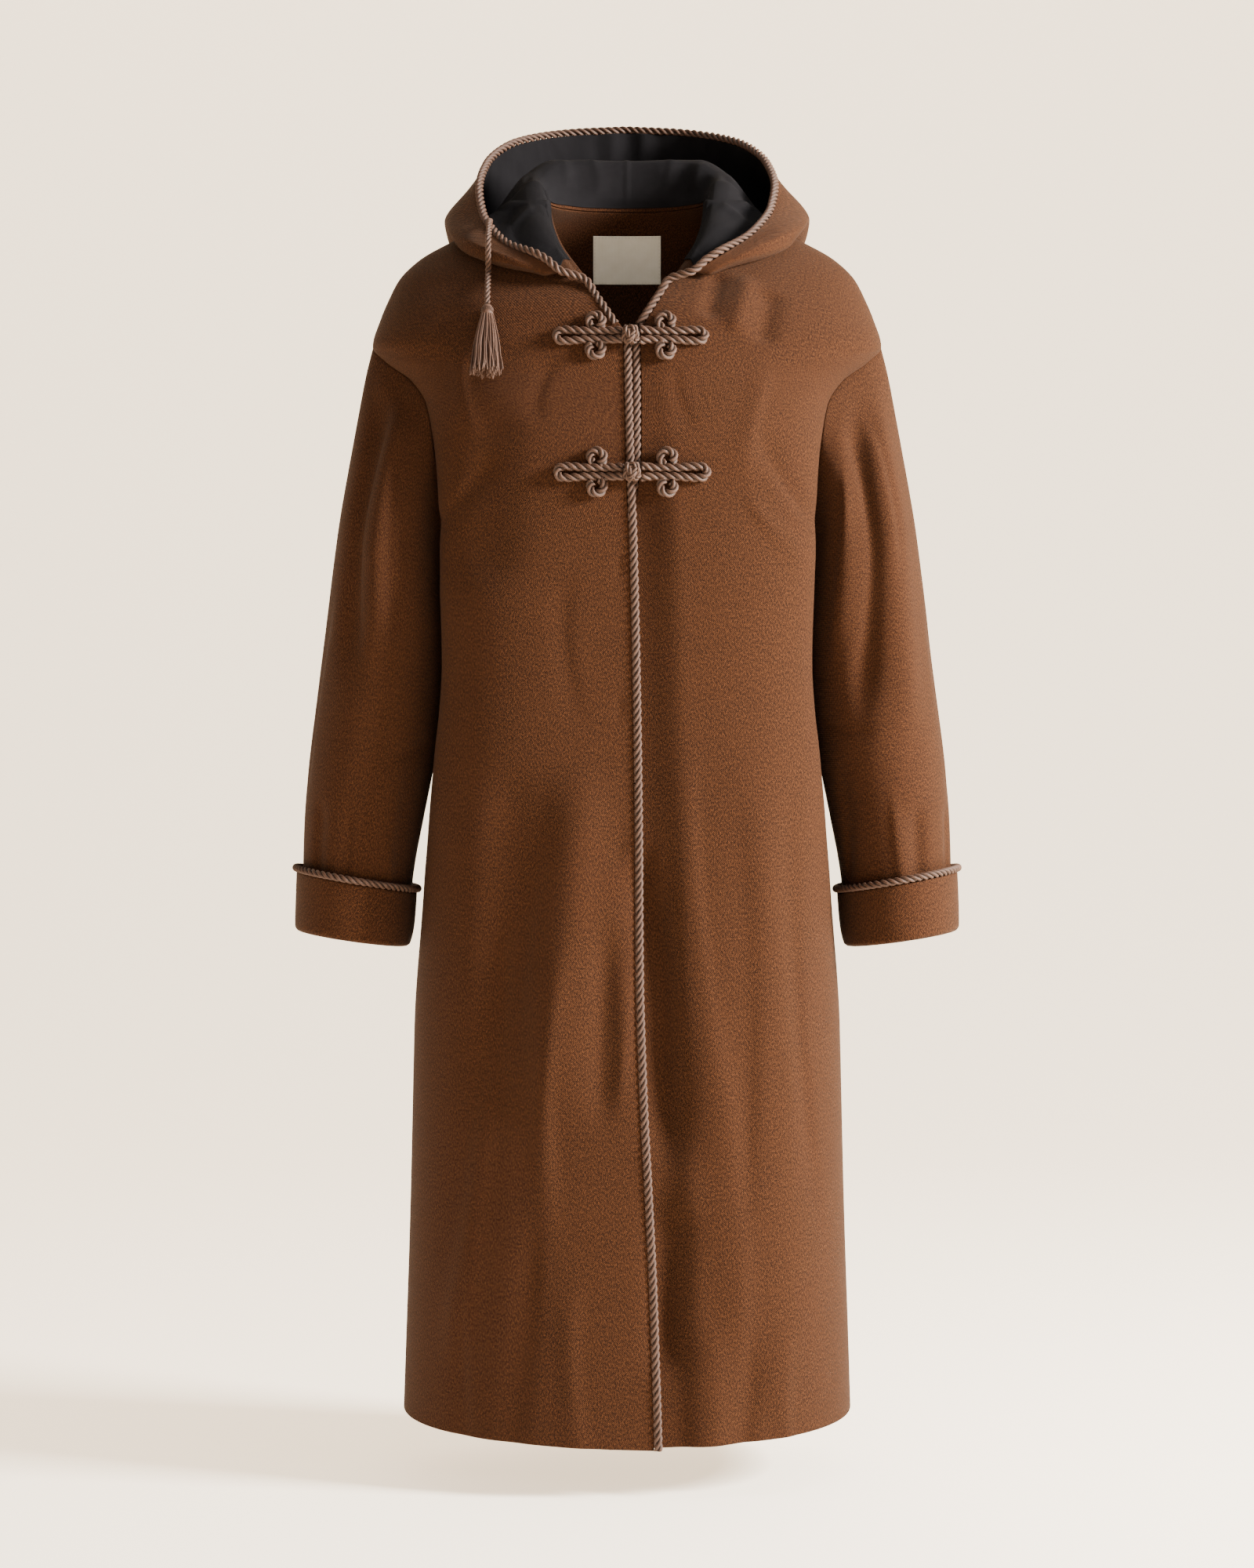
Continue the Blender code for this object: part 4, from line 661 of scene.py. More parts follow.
def sleeve_cloth(ring: np.ndarray, turn: ArrayLike, side: float, loop: np.ndarray) -> np.ndarray:
    """The sleeve's outer cloth: the armhole loop easing into ovals, with its folds.

    Args:
        ring: place down the sleeve, 0 to 8.
        turn: angle round the ring.
        side: the side's sign.
        loop: the armhole's points.

    Returns:
        points, kept clear of the body.
    """
    centre = ring_sides(SLEEVE_RINGS, ring, side)[0]
    shift = centre - ring_sides(SLEEVE_RINGS, 0 * ring, side)[0]
    freed = column(SLEEVE_RINGS, "freed", ring)[..., None]
    points = (loop + shift) * (1 - freed) + ring_points(SLEEVE_RINGS, ring, turn, side) * freed
    outward = unit(points - (shift + loop.mean(axis=1, keepdims=True)) * (1 - freed)
                   - centre * freed)
    raised = np.zeros(ring.shape)
    degrees = np.degrees(turn)
    for fold in SLEEVE_FOLDS[1:]:
        fold_side, top_ring, top_turn, low_ring, low_turn, half_turn, height = fold
        if fold_side != side:
            continue
        along = (ring - top_ring) / (low_ring - top_ring)
        centre = top_turn + (low_turn - top_turn) * along
        fade = ease(along / FOLD_FADE) * ease((1.0 - along) / FOLD_FADE)
        raised += height * fade * np.exp(-(((degrees - centre) / half_turn) ** 2))
    return sleeve_clear(points + outward * raised[..., None], ring)


def cuff_line(height: ArrayLike, turn: ArrayLike, stand_off: np.ndarray, side: float) -> np.ndarray:
    """Points round a cuff at a height above its fold, standing off the sleeve's own line.

    Args:
        height: height above the fold in metres.
        turn: angle round the cuff.
        stand_off: how far off the sleeve's line.
        side: the side's sign.

    Returns:
        points: ring + outward * stand_off.
    """
    points = ring_points(CUFF_RINGS, height, turn, side)
    centre = ring_sides(CUFF_RINGS, height, side)[0]
    return points + unit(points - centre) * stand_off[..., None]


def hood_knots(share: ArrayLike) -> list[np.ndarray]:
    """The hood's section points: seam, rise, roll, pit, low, high and rim.

    Args:
        share: place round the neck.

    Returns:
        those seven points, with one more past each end.
    """
    turn, height = neck_seam(share)
    seam = body(turn, height)
    side = np.where(share < 0, -1.0, 1.0)
    size = np.abs(share)
    drop = np.where(share < 0, column(HOOD_DROOP, "drop", size), 0.0)
    rim = np.stack([side * column(HOOD_SECTIONS, "rim_x", size),
                    column(HOOD_SECTIONS, "rim_y", size),
                    column(HOOD_SECTIONS, "rim_z", size) - drop], axis=-1)
    out = unit((rim - seam) * (1.0, 1.0, 0.0))
    up = np.array([0.0, 0.0, 1.0])
    knots = [seam]
    for part, sink in (("rise", 0.0), ("roll", 0.0), ("pit", 0.5), ("low", 1.0),
                       ("high", 1.0)):
        reach = column(HOOD_SECTIONS, part + "_out", size)[..., None]
        rise = (column(HOOD_SECTIONS, part + "_up", size) - sink * drop)[..., None]
        knots.append(seam + out * reach + up * rise)
    knots.append(rim)
    return [2 * knots[0] - knots[1]] + knots + [2 * knots[-1] - knots[-2]]


def hood_middle(share: ArrayLike, across: np.ndarray) -> np.ndarray:
    """The hood's cloth: share round the neck, across from the seam (0) to the rim (6).

    Args:
        share: place round the neck.
        across: place across the hood, seam 0 to rim 6.

    Returns:
        points of a centripetal cubic through the section's points.
    """
    knots = hood_knots(share)
    lengths = [np.linalg.norm(b - a, axis=-1, keepdims=True) for a, b in zip(knots, knots[1:])]
    times = [np.zeros_like(lengths[0])]
    for length in lengths:
        times.append(times[-1] + np.maximum(length, 1e-4) ** 0.5)
    line = np.zeros_like(knots[0])
    for piece in range(6):
        start, end = times[piece + 1], times[piece + 2]
        t = start + (end - start) * np.clip(across[..., None] - piece, 0.0, 1.0)
        points = knots[piece:piece + 4]
        marks = times[piece:piece + 4]
        for level in range(1, 4):
            points = [
                (points[k] * (marks[k + level] - t) + points[k + 1] * (t - marks[k]))
                / (marks[k + level] - marks[k])
                for k in range(4 - level)
            ]
        here = (across[..., None] >= piece) & ((across[..., None] < piece + 1) | (piece == 5))
        line = np.where(here, points[0], line)
    reach = np.linalg.norm(line - knots[1], axis=-1)
    clearance = HOOD_CLEARANCE + HOOD_END_LIFT * ease((np.abs(share) - HOOD_END_FROM) / HOOD_END_OVER)
    return clear_of_body(line, np.minimum(clearance, HOOD_SLOPE * reach))


def body_distance(points: np.ndarray) -> np.ndarray:
    """Measure of how far points lie outside the body's form, from its level sections.

    Args:
        points: the points.

    Returns:
        about 0 on the form, positive outside.
    """
    half, front, back, square, hollow, middle = section(points[..., 2])
    y = points[..., 1] - middle
    depth = np.where(y < 0, front, back)
    reach = np.clip(1.0 - (y / (HOLLOW_REACH * depth)) ** 2, 0.0, None)
    x = np.abs(points[..., 0]) + hollow * reach**2
    return (np.abs(x / half) ** square + np.abs(y / depth) ** square) ** (1 / square) - 1.0


def clear_of_body(points: np.ndarray, clearance: ArrayLike) -> np.ndarray:
    """Moves points that lie too near the body out along its own slope.

    Args:
        points: the points.
        clearance: the least distance in metres.

    Returns:
        the moved points.
    """
    small = 0.0005
    for _ in range(6):
        value = body_distance(points)
        slope = np.stack([
            (body_distance(points + np.eye(3)[axis] * small) - value) / small for axis in range(3)
        ], axis=-1)
        size = np.linalg.norm(slope, axis=-1)
        gap = value / np.maximum(size, 1e-6)
        push = np.clip(clearance - gap, 0.0, 0.01)
        points = points + slope / np.maximum(size, 1e-6)[..., None] * push[..., None]
    return points


def on_front(x: ArrayLike, z: ArrayLike, lift: ArrayLike) -> np.ndarray:
    """Points over the fronts at a place seen from the front, lifted off the cloth.

    Args:
        x: metres to the left.
        z: height in metres.
        lift: metres off the cloth.

    Returns:
        points at exactly those places.
    """
    turn = front_turn(x, z)
    points = body(turn, z, lift)
    points[..., 0] = x
    points[..., 2] = z
    return points


def frog_path(knot_x: float, knot_z: float, outward: float, gap: float) -> np.ndarray:
    """A frog half's long loop: out from the knot, round the far end and back.

    Args:
        knot_x: the knot's sideways place.
        knot_z: the knot's height.
        outward: -1 or 1, away from the knot.
        gap: half the loop's gap at the knot.

    Returns:
        points of the loop's middle line.
    """
    inner = KNOT_HALF[0] - SEAM_GAP
    outs = np.array([inner, 0.0125, 0.018, 0.026, 0.034, 0.044, 0.056, 0.066, 0.0715])
    ups = np.array([gap, gap, FROG_ARM, FROG_ARM, FROG_ARM, FROG_ARM, FROG_SLOT,
                    FROG_SLOT, FROG_ARM * 0.85])
    tip = FROG_REACH - FROG_CORD
    outs = np.concatenate([outs[:-1], [tip - 0.0016, tip, tip - 0.0016], outs[-2::-1]])
    ups = np.concatenate([ups[:-1], [FROG_ARM * 0.8, 0.0, -FROG_ARM * 0.8], -ups[-2::-1]])
    rise = FROG_NECK_LIFT * (1.0 - ease((outs - 0.006) / 0.018))
    x = knot_x + outward * outs
    return on_front(x, knot_z + ups, FROG_CORD + SEAM_GAP * 1.8 + rise)


def frog_curl(knot_x: float, knot_z: float, outward: float, upward: float) -> np.ndarray:
    """A curl of a frog: from the long loop up and round to its own middle.

    Args:
        knot_x: the knot's sideways place.
        knot_z: the knot's height.
        outward: -1 or 1, away from the knot.
        upward: 1 for the upper curl, -1 for the lower.

    Returns:
        points of the curl's middle line.
    """
    turns = np.radians(np.linspace(-70.0, 235.0, 11))
    radius = FROG_CURL_RADIUS - 0.0016 * np.linspace(0.0, 1.0, 11) ** 2
    outs = FROG_CURL_OUT - radius * np.cos(turns)
    ups = upward * (FROG_CURL_UP + radius * np.sin(turns))
    return on_front(knot_x + outward * outs, knot_z + ups,
                    np.full(11, FROG_CORD + SEAM_GAP * 2.4))


def hood_face(x: ArrayLike, heights: np.ndarray) -> np.ndarray:
    """How far forward the hood comes at a sideways place and heights seen from the front.

    Args:
        x: metres to the left.
        heights: heights in metres.

    Returns:
        the least y at each height, 1 where there is no hood.
    """
    share, across = np.meshgrid(math.copysign(1.0, x) * np.linspace(0.4, 1.0, 121),
                                np.linspace(3.0, 6.0, 91), indexing="ij")
    points = hood_middle(share, across).reshape(-1, 3)
    points = points[np.abs(points[:, 0] - x) < TASSEL_CORD * 1.4]
    found = []
    for height in heights:
        near = points[np.abs(points[:, 2] - height) < TASSEL_CORD * 1.2]
        found.append(near[:, 1].min() - CLOTH / 2 if len(near) else 1.0)
    return np.array(found)


def rim_cord_path(shares: np.ndarray, away: float, trim: int = 0) -> np.ndarray:
    """The rim cord's line: round the hood's rim, then down the bare neck edge to the frog.

    Args:
        shares: places round the neck.
        away: metres past the cloth's rim.
        trim: how many places to leave out at each end of the rim.

    Returns:
        points of the cord's middle line.
    """
    last = hood_middle(shares, np.full(shares.shape, HOOD_RIM))
    near = hood_middle(shares, np.full(shares.shape, HOOD_BY_RIM))
    past_rim = away + SEAM_GAP * 6 * ease((np.abs(shares) - RIM_OUT_FROM) / RIM_OUT_OVER)
    rim = last + unit(last - near) * past_rim[:, None]
    ends = []
    for side in (1, -1):
        along, past, off = np.array(NECK_CORD[1:]).T
        turn, height = neckline(along, side)
        edge = front_cloth(turn, height, side)
        normal = body_normal(turn, height)
        inward = unit(np.cross(normal, np.gradient(edge, axis=0))) * side
        ends.append(edge + inward * past[:, None] + normal * off[:, None])
    return np.concatenate([ends[0], rim[trim:len(rim) - trim], ends[1][::-1]])


def tassel_line(heights: np.ndarray) -> np.ndarray:
    """A plumb line over the chest, seen from the front.

    Args:
        heights: heights in metres.

    Returns:
        points at the tassel's x.
    """
    x = np.full(heights.shape, TASSEL_X)
    lift = np.interp(heights, TASSEL_LIFT_HEIGHTS, TASSEL_LIFTS)
    return on_front(x, heights, lift)


def tassel_route() -> np.ndarray:
    """The tassel cord's own points: from the rim cord, over the hood's edge, down the chest.

    Returns:
        points of the cord's middle line.
    """
    rim = rim_cord_path(neck_shares(), EDGE_CORD + SEAM_GAP * 2)
    rim = rim[(rim[:, 0] < 0.0) & (rim[:, 1] < 0.0)]
    rim = rim[np.argsort(rim[:, 0])]
    rope_y, rope_z = [np.interp(TASSEL_X, rim[:, 0], rim[:, axis]) for axis in (1, 2)]
    heights = np.linspace(rope_z + TASSEL_CORD_RISE, TASSEL_HEAD_Z + SEAM_GAP * 2, 18)
    chest = tassel_line(heights)
    hood = hood_face(TASSEL_X, heights) - TASSEL_CORD - SEAM_GAP * 2
    ahead = np.minimum(hood, chest[:, 1])
    over = heights > rope_z - EDGE_CORD
    rope = rope_y - EDGE_CORD - TASSEL_CORD - SEAM_GAP * 1.6
    ahead[over] = np.minimum(ahead[over], rope)
    held = np.array([ahead[max(0, k - 1):k + 2].min() for k in range(len(ahead))])
    held[0] = ahead[0]
    chest[:, 1] = held
    return chest


# Finer creases, drawn one by one: a line on the cloth (x, z to x, z), its half width, its height
FRONT_CREASES = (
    (-0.0077, -0.3, -0.0077, -0.322, 0.004, -0.0012),
    (-0.0077, -0.433, -0.0077, -0.457, 0.004, -0.0012),
    (-0.0077, -0.566, -0.0077, -0.59, 0.004, -0.0012), (0.026, -0.56, 0.031, -0.78, 0.008, 0.0028),
    (0.1086, -1.02, 0.111, -1.22, 0.01, -0.003), (-0.003, -0.67, -0.004, -0.83, 0.006, 0.0018),
    (0.19, -0.285, 0.12, -0.175, 0.01, -0.0022), (-0.19, -0.29, -0.125, -0.19, 0.011, -0.0024),
    (0.175, -0.32, 0.11, -0.235, 0.009, 0.0018), (0.06, -0.45, 0.078, -0.86, 0.013, 0.0022),
    (0.1, -0.5, 0.118, -0.98, 0.012, -0.0022), (0.15, -0.48, 0.176, -0.96, 0.01, -0.002),
    (-0.058, -0.3, -0.05, -0.47, 0.012, -0.0016), (-0.09, -0.9, -0.104, -1.2, 0.011, -0.0024),
    (-0.046, -0.96, -0.05, -1.2, 0.012, 0.0022), (-0.148, -0.94, -0.16, -1.2, 0.009, -0.0018),
    (0.146, -1.01, 0.156, -1.2, 0.01, 0.0022), (0.056, -1.03, 0.055, -1.2, 0.008, -0.002),
    (0.045, -0.11, 0.06, -0.19, 0.008, -0.0012), (-0.07, -0.105, -0.088, -0.18, 0.009, -0.0014),
    (0.016, -0.56, 0.047, -0.9, 0.013, -0.005), (0.046, -0.85, 0.038, -1.08, 0.014, -0.0036),
    (-0.114, -0.6, -0.15, -1.0, 0.016, -0.0042), (-0.088, -0.48, -0.1, -0.82, 0.016, -0.003),
    (-0.062, -0.64, -0.078, -0.96, 0.013, 0.0034), (0.084, -0.7, 0.104, -1.15, 0.016, 0.0034),
    (0.128, -0.105, 0.115, -0.25, 0.012, 0.002), (-0.155, -0.09, -0.15, -0.2, 0.01, 0.002),
)
BACK_CREASES = (
    (0.026, -0.12, 0.034, -0.48, 0.011, -0.002), (-0.04, -0.14, -0.032, -0.46, 0.012, -0.0022),
    (0.188, -0.29, 0.11, -0.19, 0.01, -0.0024), (-0.186, -0.285, -0.118, -0.2, 0.011, -0.0022),
    (0.1, -0.52, 0.122, -1.0, 0.012, -0.0022), (-0.118, -0.5, -0.14, -0.98, 0.011, -0.0024),
    (0.04, -0.86, 0.048, -1.2, 0.012, 0.0024), (-0.046, -0.9, -0.05, -1.2, 0.01, -0.0022),
    (0.15, -0.9, 0.166, -1.2, 0.01, 0.0022), (-0.16, -0.86, -0.176, -1.2, 0.011, 0.002),
    (0.08, -0.12, 0.088, -0.3, 0.01, 0.0016), (-0.09, -0.11, -0.098, -0.32, 0.011, 0.0016),
)
# Sleeve creases: the side, then the line as ring and degrees round it
SLEEVE_CREASES = (
    (1, 0.6, 62.0, 5.4, 112.0, 0.012, -0.0042), (-1, 0.5, 40.0, 5.0, 74.0, 0.011, -0.0036),
    (1, 0.7, 48.0, 3.6, 54.0, 0.006, -0.0018), (1, 1.0, 95.0, 4.0, 128.0, 0.009, 0.0028),
    (1, 5.8, 92.0, 8.6, 86.0, 0.007, 0.0022), (1, 5.2, 140.0, 7.6, 152.0, 0.01, -0.003),
    (1, 3.8, 20.0, 6.6, 12.0, 0.009, -0.002), (1, 4.4, 158.0, 5.2, 96.0, 0.007, -0.0018),
    (-1, 0.9, 72.0, 3.8, 100.0, 0.007, -0.0018), (-1, 5.9, 80.0, 8.6, 84.0, 0.008, -0.0026),
    (-1, 5.0, 120.0, 7.8, 132.0, 0.01, 0.0026), (-1, 3.5, 25.0, 6.4, 18.0, 0.009, -0.002),
    (-1, 4.8, 160.0, 5.6, 100.0, 0.007, -0.0018), (1, 1.5, 200.0, 4.5, 216.0, 0.011, -0.003),
    (-1, 1.5, 206.0, 4.5, 194.0, 0.011, -0.003), (1, 4.5, 300.0, 7.8, 290.0, 0.012, -0.003),
    (-1, 4.4, 296.0, 7.6, 304.0, 0.012, 0.0028), (1, 2.6, 330.0, 5.0, 322.0, 0.01, 0.002),
    (-1, 2.4, 322.0, 5.2, 334.0, 0.01, -0.0022),
)
RING_LENGTH = 0.070
DEGREE_LENGTH = 0.0012
# Hood creases: the line as place round the neck and place across
HOOD_CREASES = (
    (-0.2445, 0.2, -0.25, 1.5, 0.007, -0.0014), (-0.1189, 0.2, -0.122, 1.5, 0.006, -0.0012),
    (0.158, 0.2, 0.164, 1.5, 0.007, -0.0013), (0.2925, 0.2, 0.3, 1.5, 0.007, -0.0014),
    (0.5, 3.9, 0.86, 4.9, 0.008, 0.003), (-0.54, 3.9, -0.9, 5.0, 0.008, 0.0032),
    (0.2, 2.2, 0.22, 5.0, 0.012, -0.004), (-0.21, 2.2, -0.24, 5.0, 0.012, -0.0038),
    (0.33, 2.4, 0.37, 5.2, 0.01, 0.003), (-0.34, 2.4, -0.4, 5.2, 0.01, 0.003),
    (-0.08, 2.5, -0.1, 5.4, 0.01, -0.0036), (0.07, 2.6, 0.1, 5.5, 0.01, 0.003),
    (0.58, 1.6, 0.7, 3.4, 0.008, -0.0022), (-0.6, 1.6, -0.74, 3.4, 0.008, -0.0022),
    (0.42, 1.2, 0.46, 3.0, 0.009, 0.0024), (-0.44, 1.2, -0.47, 3.0, 0.009, 0.0022),
    (-0.062, 4.9, -0.058, 6.8, 0.003, 0.0016), (-0.03, 4.8, -0.028, 6.8, 0.0026, -0.0016),
    (0.002, 4.9, 0.002, 6.8, 0.0026, 0.0014), (0.03, 4.8, 0.032, 6.8, 0.0028, -0.0016),
    (0.062, 4.9, 0.06, 6.8, 0.003, 0.0015),
)
SHARE_LENGTH = 0.30
ACROSS_LENGTH = 0.030


class Side(IntEnum):
    """The wearer's sides."""

    RIGHT = -1
    LEFT = 1

    @property
    def word(self) -> str:
        """The side's name in a piece's name."""
        return self.name.lower()


class Trim(Enum):
    """How a cord's strands end."""

    OPEN = "open"
    RING = "ring"


# Shared geometry


def crease_field(u: np.ndarray, v: np.ndarray, creases: Sequence[tuple]) -> np.ndarray:
    """Height of listed creases: height * exp(-(aside / width)^2), faded at both ends.

    Each line wavers a little and is steeper on one side, so no two are alike.

    Args:
        u: first coordinate of each point, in metres.
        v: second coordinate of each point, in metres.
        creases: rows of a crease table.

    Returns:
        the summed height at each point.
    """
    total = np.zeros(np.broadcast(u, v).shape)
    for u_a, v_a, u_b, v_b, half, height in creases:
        run = math.hypot(u_b - u_a, v_b - v_a)
        step_u, step_v = (u_b - u_a) / run, (v_b - v_a) / run
        along = ((u - u_a) * step_u + (v - v_a) * step_v) / run
        aside = (u - u_a) * step_v - (v - v_a) * step_u
        aside = aside + half * 0.45 * np.sin(4.6 * along + 61.0 * u_a)
        width = half * np.where(aside > 0, 1.3, 0.8) * (1 + 0.25 * np.sin(6.0 * along + 37.0 * v_a))
        fade = ease(along / 0.28) * ease((1.0 - along) / 0.28)
        total += height * fade * np.exp(-((aside / width) ** 2))
    return total


def body_creases(turn: ArrayLike, height: ArrayLike, creases: Sequence[tuple]) -> np.ndarray:
    """Height of listed creases on a panel, as seen from the front.

    Args:
        turn: turn round the body.
        height: metres up.
        creases: rows of a crease table.

    Returns:
        the summed height at each point.
    """
    form = body_form(turn, height)
    return crease_field(form[..., 0], form[..., 2], creases)


def in_metres(creases: Sequence[tuple], first: float, second: float) -> list[tuple]:
    """Creases whose line ends are scaled to metres.

    Args:
        creases: rows of a crease table.
        first: metres for one unit of the first coordinate.
        second: metres for one unit of the second coordinate.

    Returns:
        the scaled rows.
    """
    return [(a * first, b * second, c * first, d * second, half, height)
            for a, b, c, d, half, height in creases]


def ball(rise: np.ndarray, turn: np.ndarray) -> np.ndarray:
    """Points of a ball of radius 1: (cos rise cos turn, cos rise sin turn, sin rise).

    Args:
        rise: angle above the level.
        turn: angle round the upright axis.

    Returns:
        the points.
    """
    return np.stack([np.cos(rise) * np.cos(turn), np.cos(rise) * np.sin(turn),
                     np.sin(rise) + 0 * turn], -1)


def graded(length: float, count: int) -> np.ndarray:
    """Shares 0 to 1 along a length, with extra ones by both ends for the rounded edge.

    Args:
        length: the length in metres.
        count: shares between the ends.

    Returns:
        rising shares.
    """
    near = np.array([0.0, 0.00015, 0.0004, 0.0008, 0.0013]) / length
    middle = np.linspace(0.0026 / length, 1.0 - 0.0026 / length, count)
    return np.concatenate([near, middle, 1.0 - near[::-1]])


def runs(grid: np.ndarray, axis: int) -> np.ndarray:
    """Length run along an axis of a grid: the running sum of its steps.

    Args:
        grid: rows and columns of points.
        axis: 0 up the rows, 1 along the columns.

    Returns:
        metres from the axis's start.
    """
    step = np.linalg.norm(np.diff(grid, axis=axis), axis=-1)
    zero = np.zeros_like(np.take(step, [0], axis=axis))
    return np.concatenate([zero, np.cumsum(step, axis=axis)], axis=axis)


def soften(outer: np.ndarray, inner: np.ndarray, radius: float, closed: bool) -> tuple:
    """Rounds a wall's cut edges: half thickness * sqrt(1 - (1 - s / radius)^2) by the edge.

    Args:
        outer: the outer face's points.
        inner: the inner face's points.
        radius: the rounding in metres.
        closed: whether the columns run round.

    Returns:
        both faces again.
    """
    middle, half = (outer + inner) / 2, (outer - inner) / 2
    up = runs(middle, 0)
    near = np.minimum(up, up[-1:] - up)
    if not closed:
        across = runs(middle, 1)
        near = np.minimum(near, np.minimum(across, across[:, -1:] - across))
    size = np.sqrt(1.0 - (1.0 - np.clip(near / radius, 0.0, 1.0)) ** 2)
    half = half * np.maximum(size, 0.12)[..., None]
    return middle + half, middle - half


def cloth_row(start: float, end: float, low: float, high: float, shares: np.ndarray,
              bow: tuple | None = None) -> tuple[np.ndarray, np.ndarray]:
    """One row of a panel at given shares of its own length along the body's form.

    Args:
        start: turn at the row's start.
        end: turn at its end.
        low: height at its start.
        high: height at its end.
        shares: shares of its length.
        bow: the neck edge's side and how far the row follows it.

    Returns:
        turns and heights.
    """
    t = np.linspace(0.0, 1.0, 240)
    turn, height = start + (end - start) * t, low + (high - low) * t
    if bow is not None:
        side, weight = bow
        neck_turn, neck_height = neckline(1.0 - t, side)
        turn = turn + weight * (neck_turn - neck_turn[0] - (neck_turn[-1] - neck_turn[0]) * t)
        height = height + weight * (neck_height - neck_height[0]
                                    - (neck_height[-1] - neck_height[0]) * t)
    run = runs(body_form(turn, height)[None], 1)[0]
    return (np.interp(shares * run[-1], run, turn), np.interp(shares * run[-1], run, height))


def armhole(side: float, count: int) -> tuple[np.ndarray, np.ndarray, np.ndarray]:
    """The armhole's loop from the shoulder tip round the front, and how its seam turns.

    Args:
        side: the side's sign.
        count: points round it.

    Returns:
        the loop, the thickness direction and the way clear of the body.
    """
    levels = np.array([row[0] for row in EDGE_ROWS[1:]])
    levels = levels[(levels > ARMPIT - 1e-6) & (levels < SHOULDER_TIP + 1e-6)][::-1]
    at = np.linspace(0.0, ARMHOLE_STEPS, count, endpoint=False)
    height = np.interp(np.minimum(at, ARMHOLE_STEPS - at) / 2.0, np.arange(len(levels)), levels)
    turn = np.where(at <= ARMHOLE_STEPS / 2, seam_turn(height, side, "front"),
                    seam_turn(height, side, "back"))
    loop, normal = body(turn, height), body_normal(turn, height)
    angles = np.linspace(0.0, 2 * math.pi, count, endpoint=False)[None]
    leaving = unit(sleeve_cloth(np.full((1, count), 0.4), angles, side, loop[None])[0] - loop)
    inward = np.array(ARMHOLE_MIDDLE) * (side, 1.0, 1.0) - loop
    inward = unit(inward - normal * (inward * normal).sum(-1, keepdims=True))
    flat = (leaving * inward).sum(-1, keepdims=True)
    raised = (leaving * normal).sum(-1, keepdims=True)
    size = np.maximum(np.hypot(flat, raised), 1e-6)
    flat, raised = flat / size, np.maximum(raised / size, 0.05)
    return (loop, unit(inward * raised - normal * (1.0 + flat)),
            unit(inward * (1.0 + flat) + normal * raised))


def carried(path: np.ndarray, trim: Trim) -> tuple[np.ndarray, np.ndarray]:
    """Two directions square to a path, carried along it without twist.

    Args:
        path: points of the path.
        trim: whether the path closes on itself.

    Returns:
        the two directions at each point.
    """
    if trim is Trim.RING:
        tangent = unit(np.roll(path, -1, axis=0) - np.roll(path, 1, axis=0))
        first = path - path.mean(axis=0)
        first = unit(first - tangent * (first * tangent).sum(-1, keepdims=True))
        return first, np.cross(tangent, first)
    tangent = unit(np.gradient(path, axis=0))
    first = np.zeros_like(path)
    now = np.cross(tangent[0], (0.0, 1.0, 0.123))
    for index, way in enumerate(tangent):
        now = unit(now - way * np.dot(now, way))
        first[index] = now
    return first, np.cross(tangent, first)


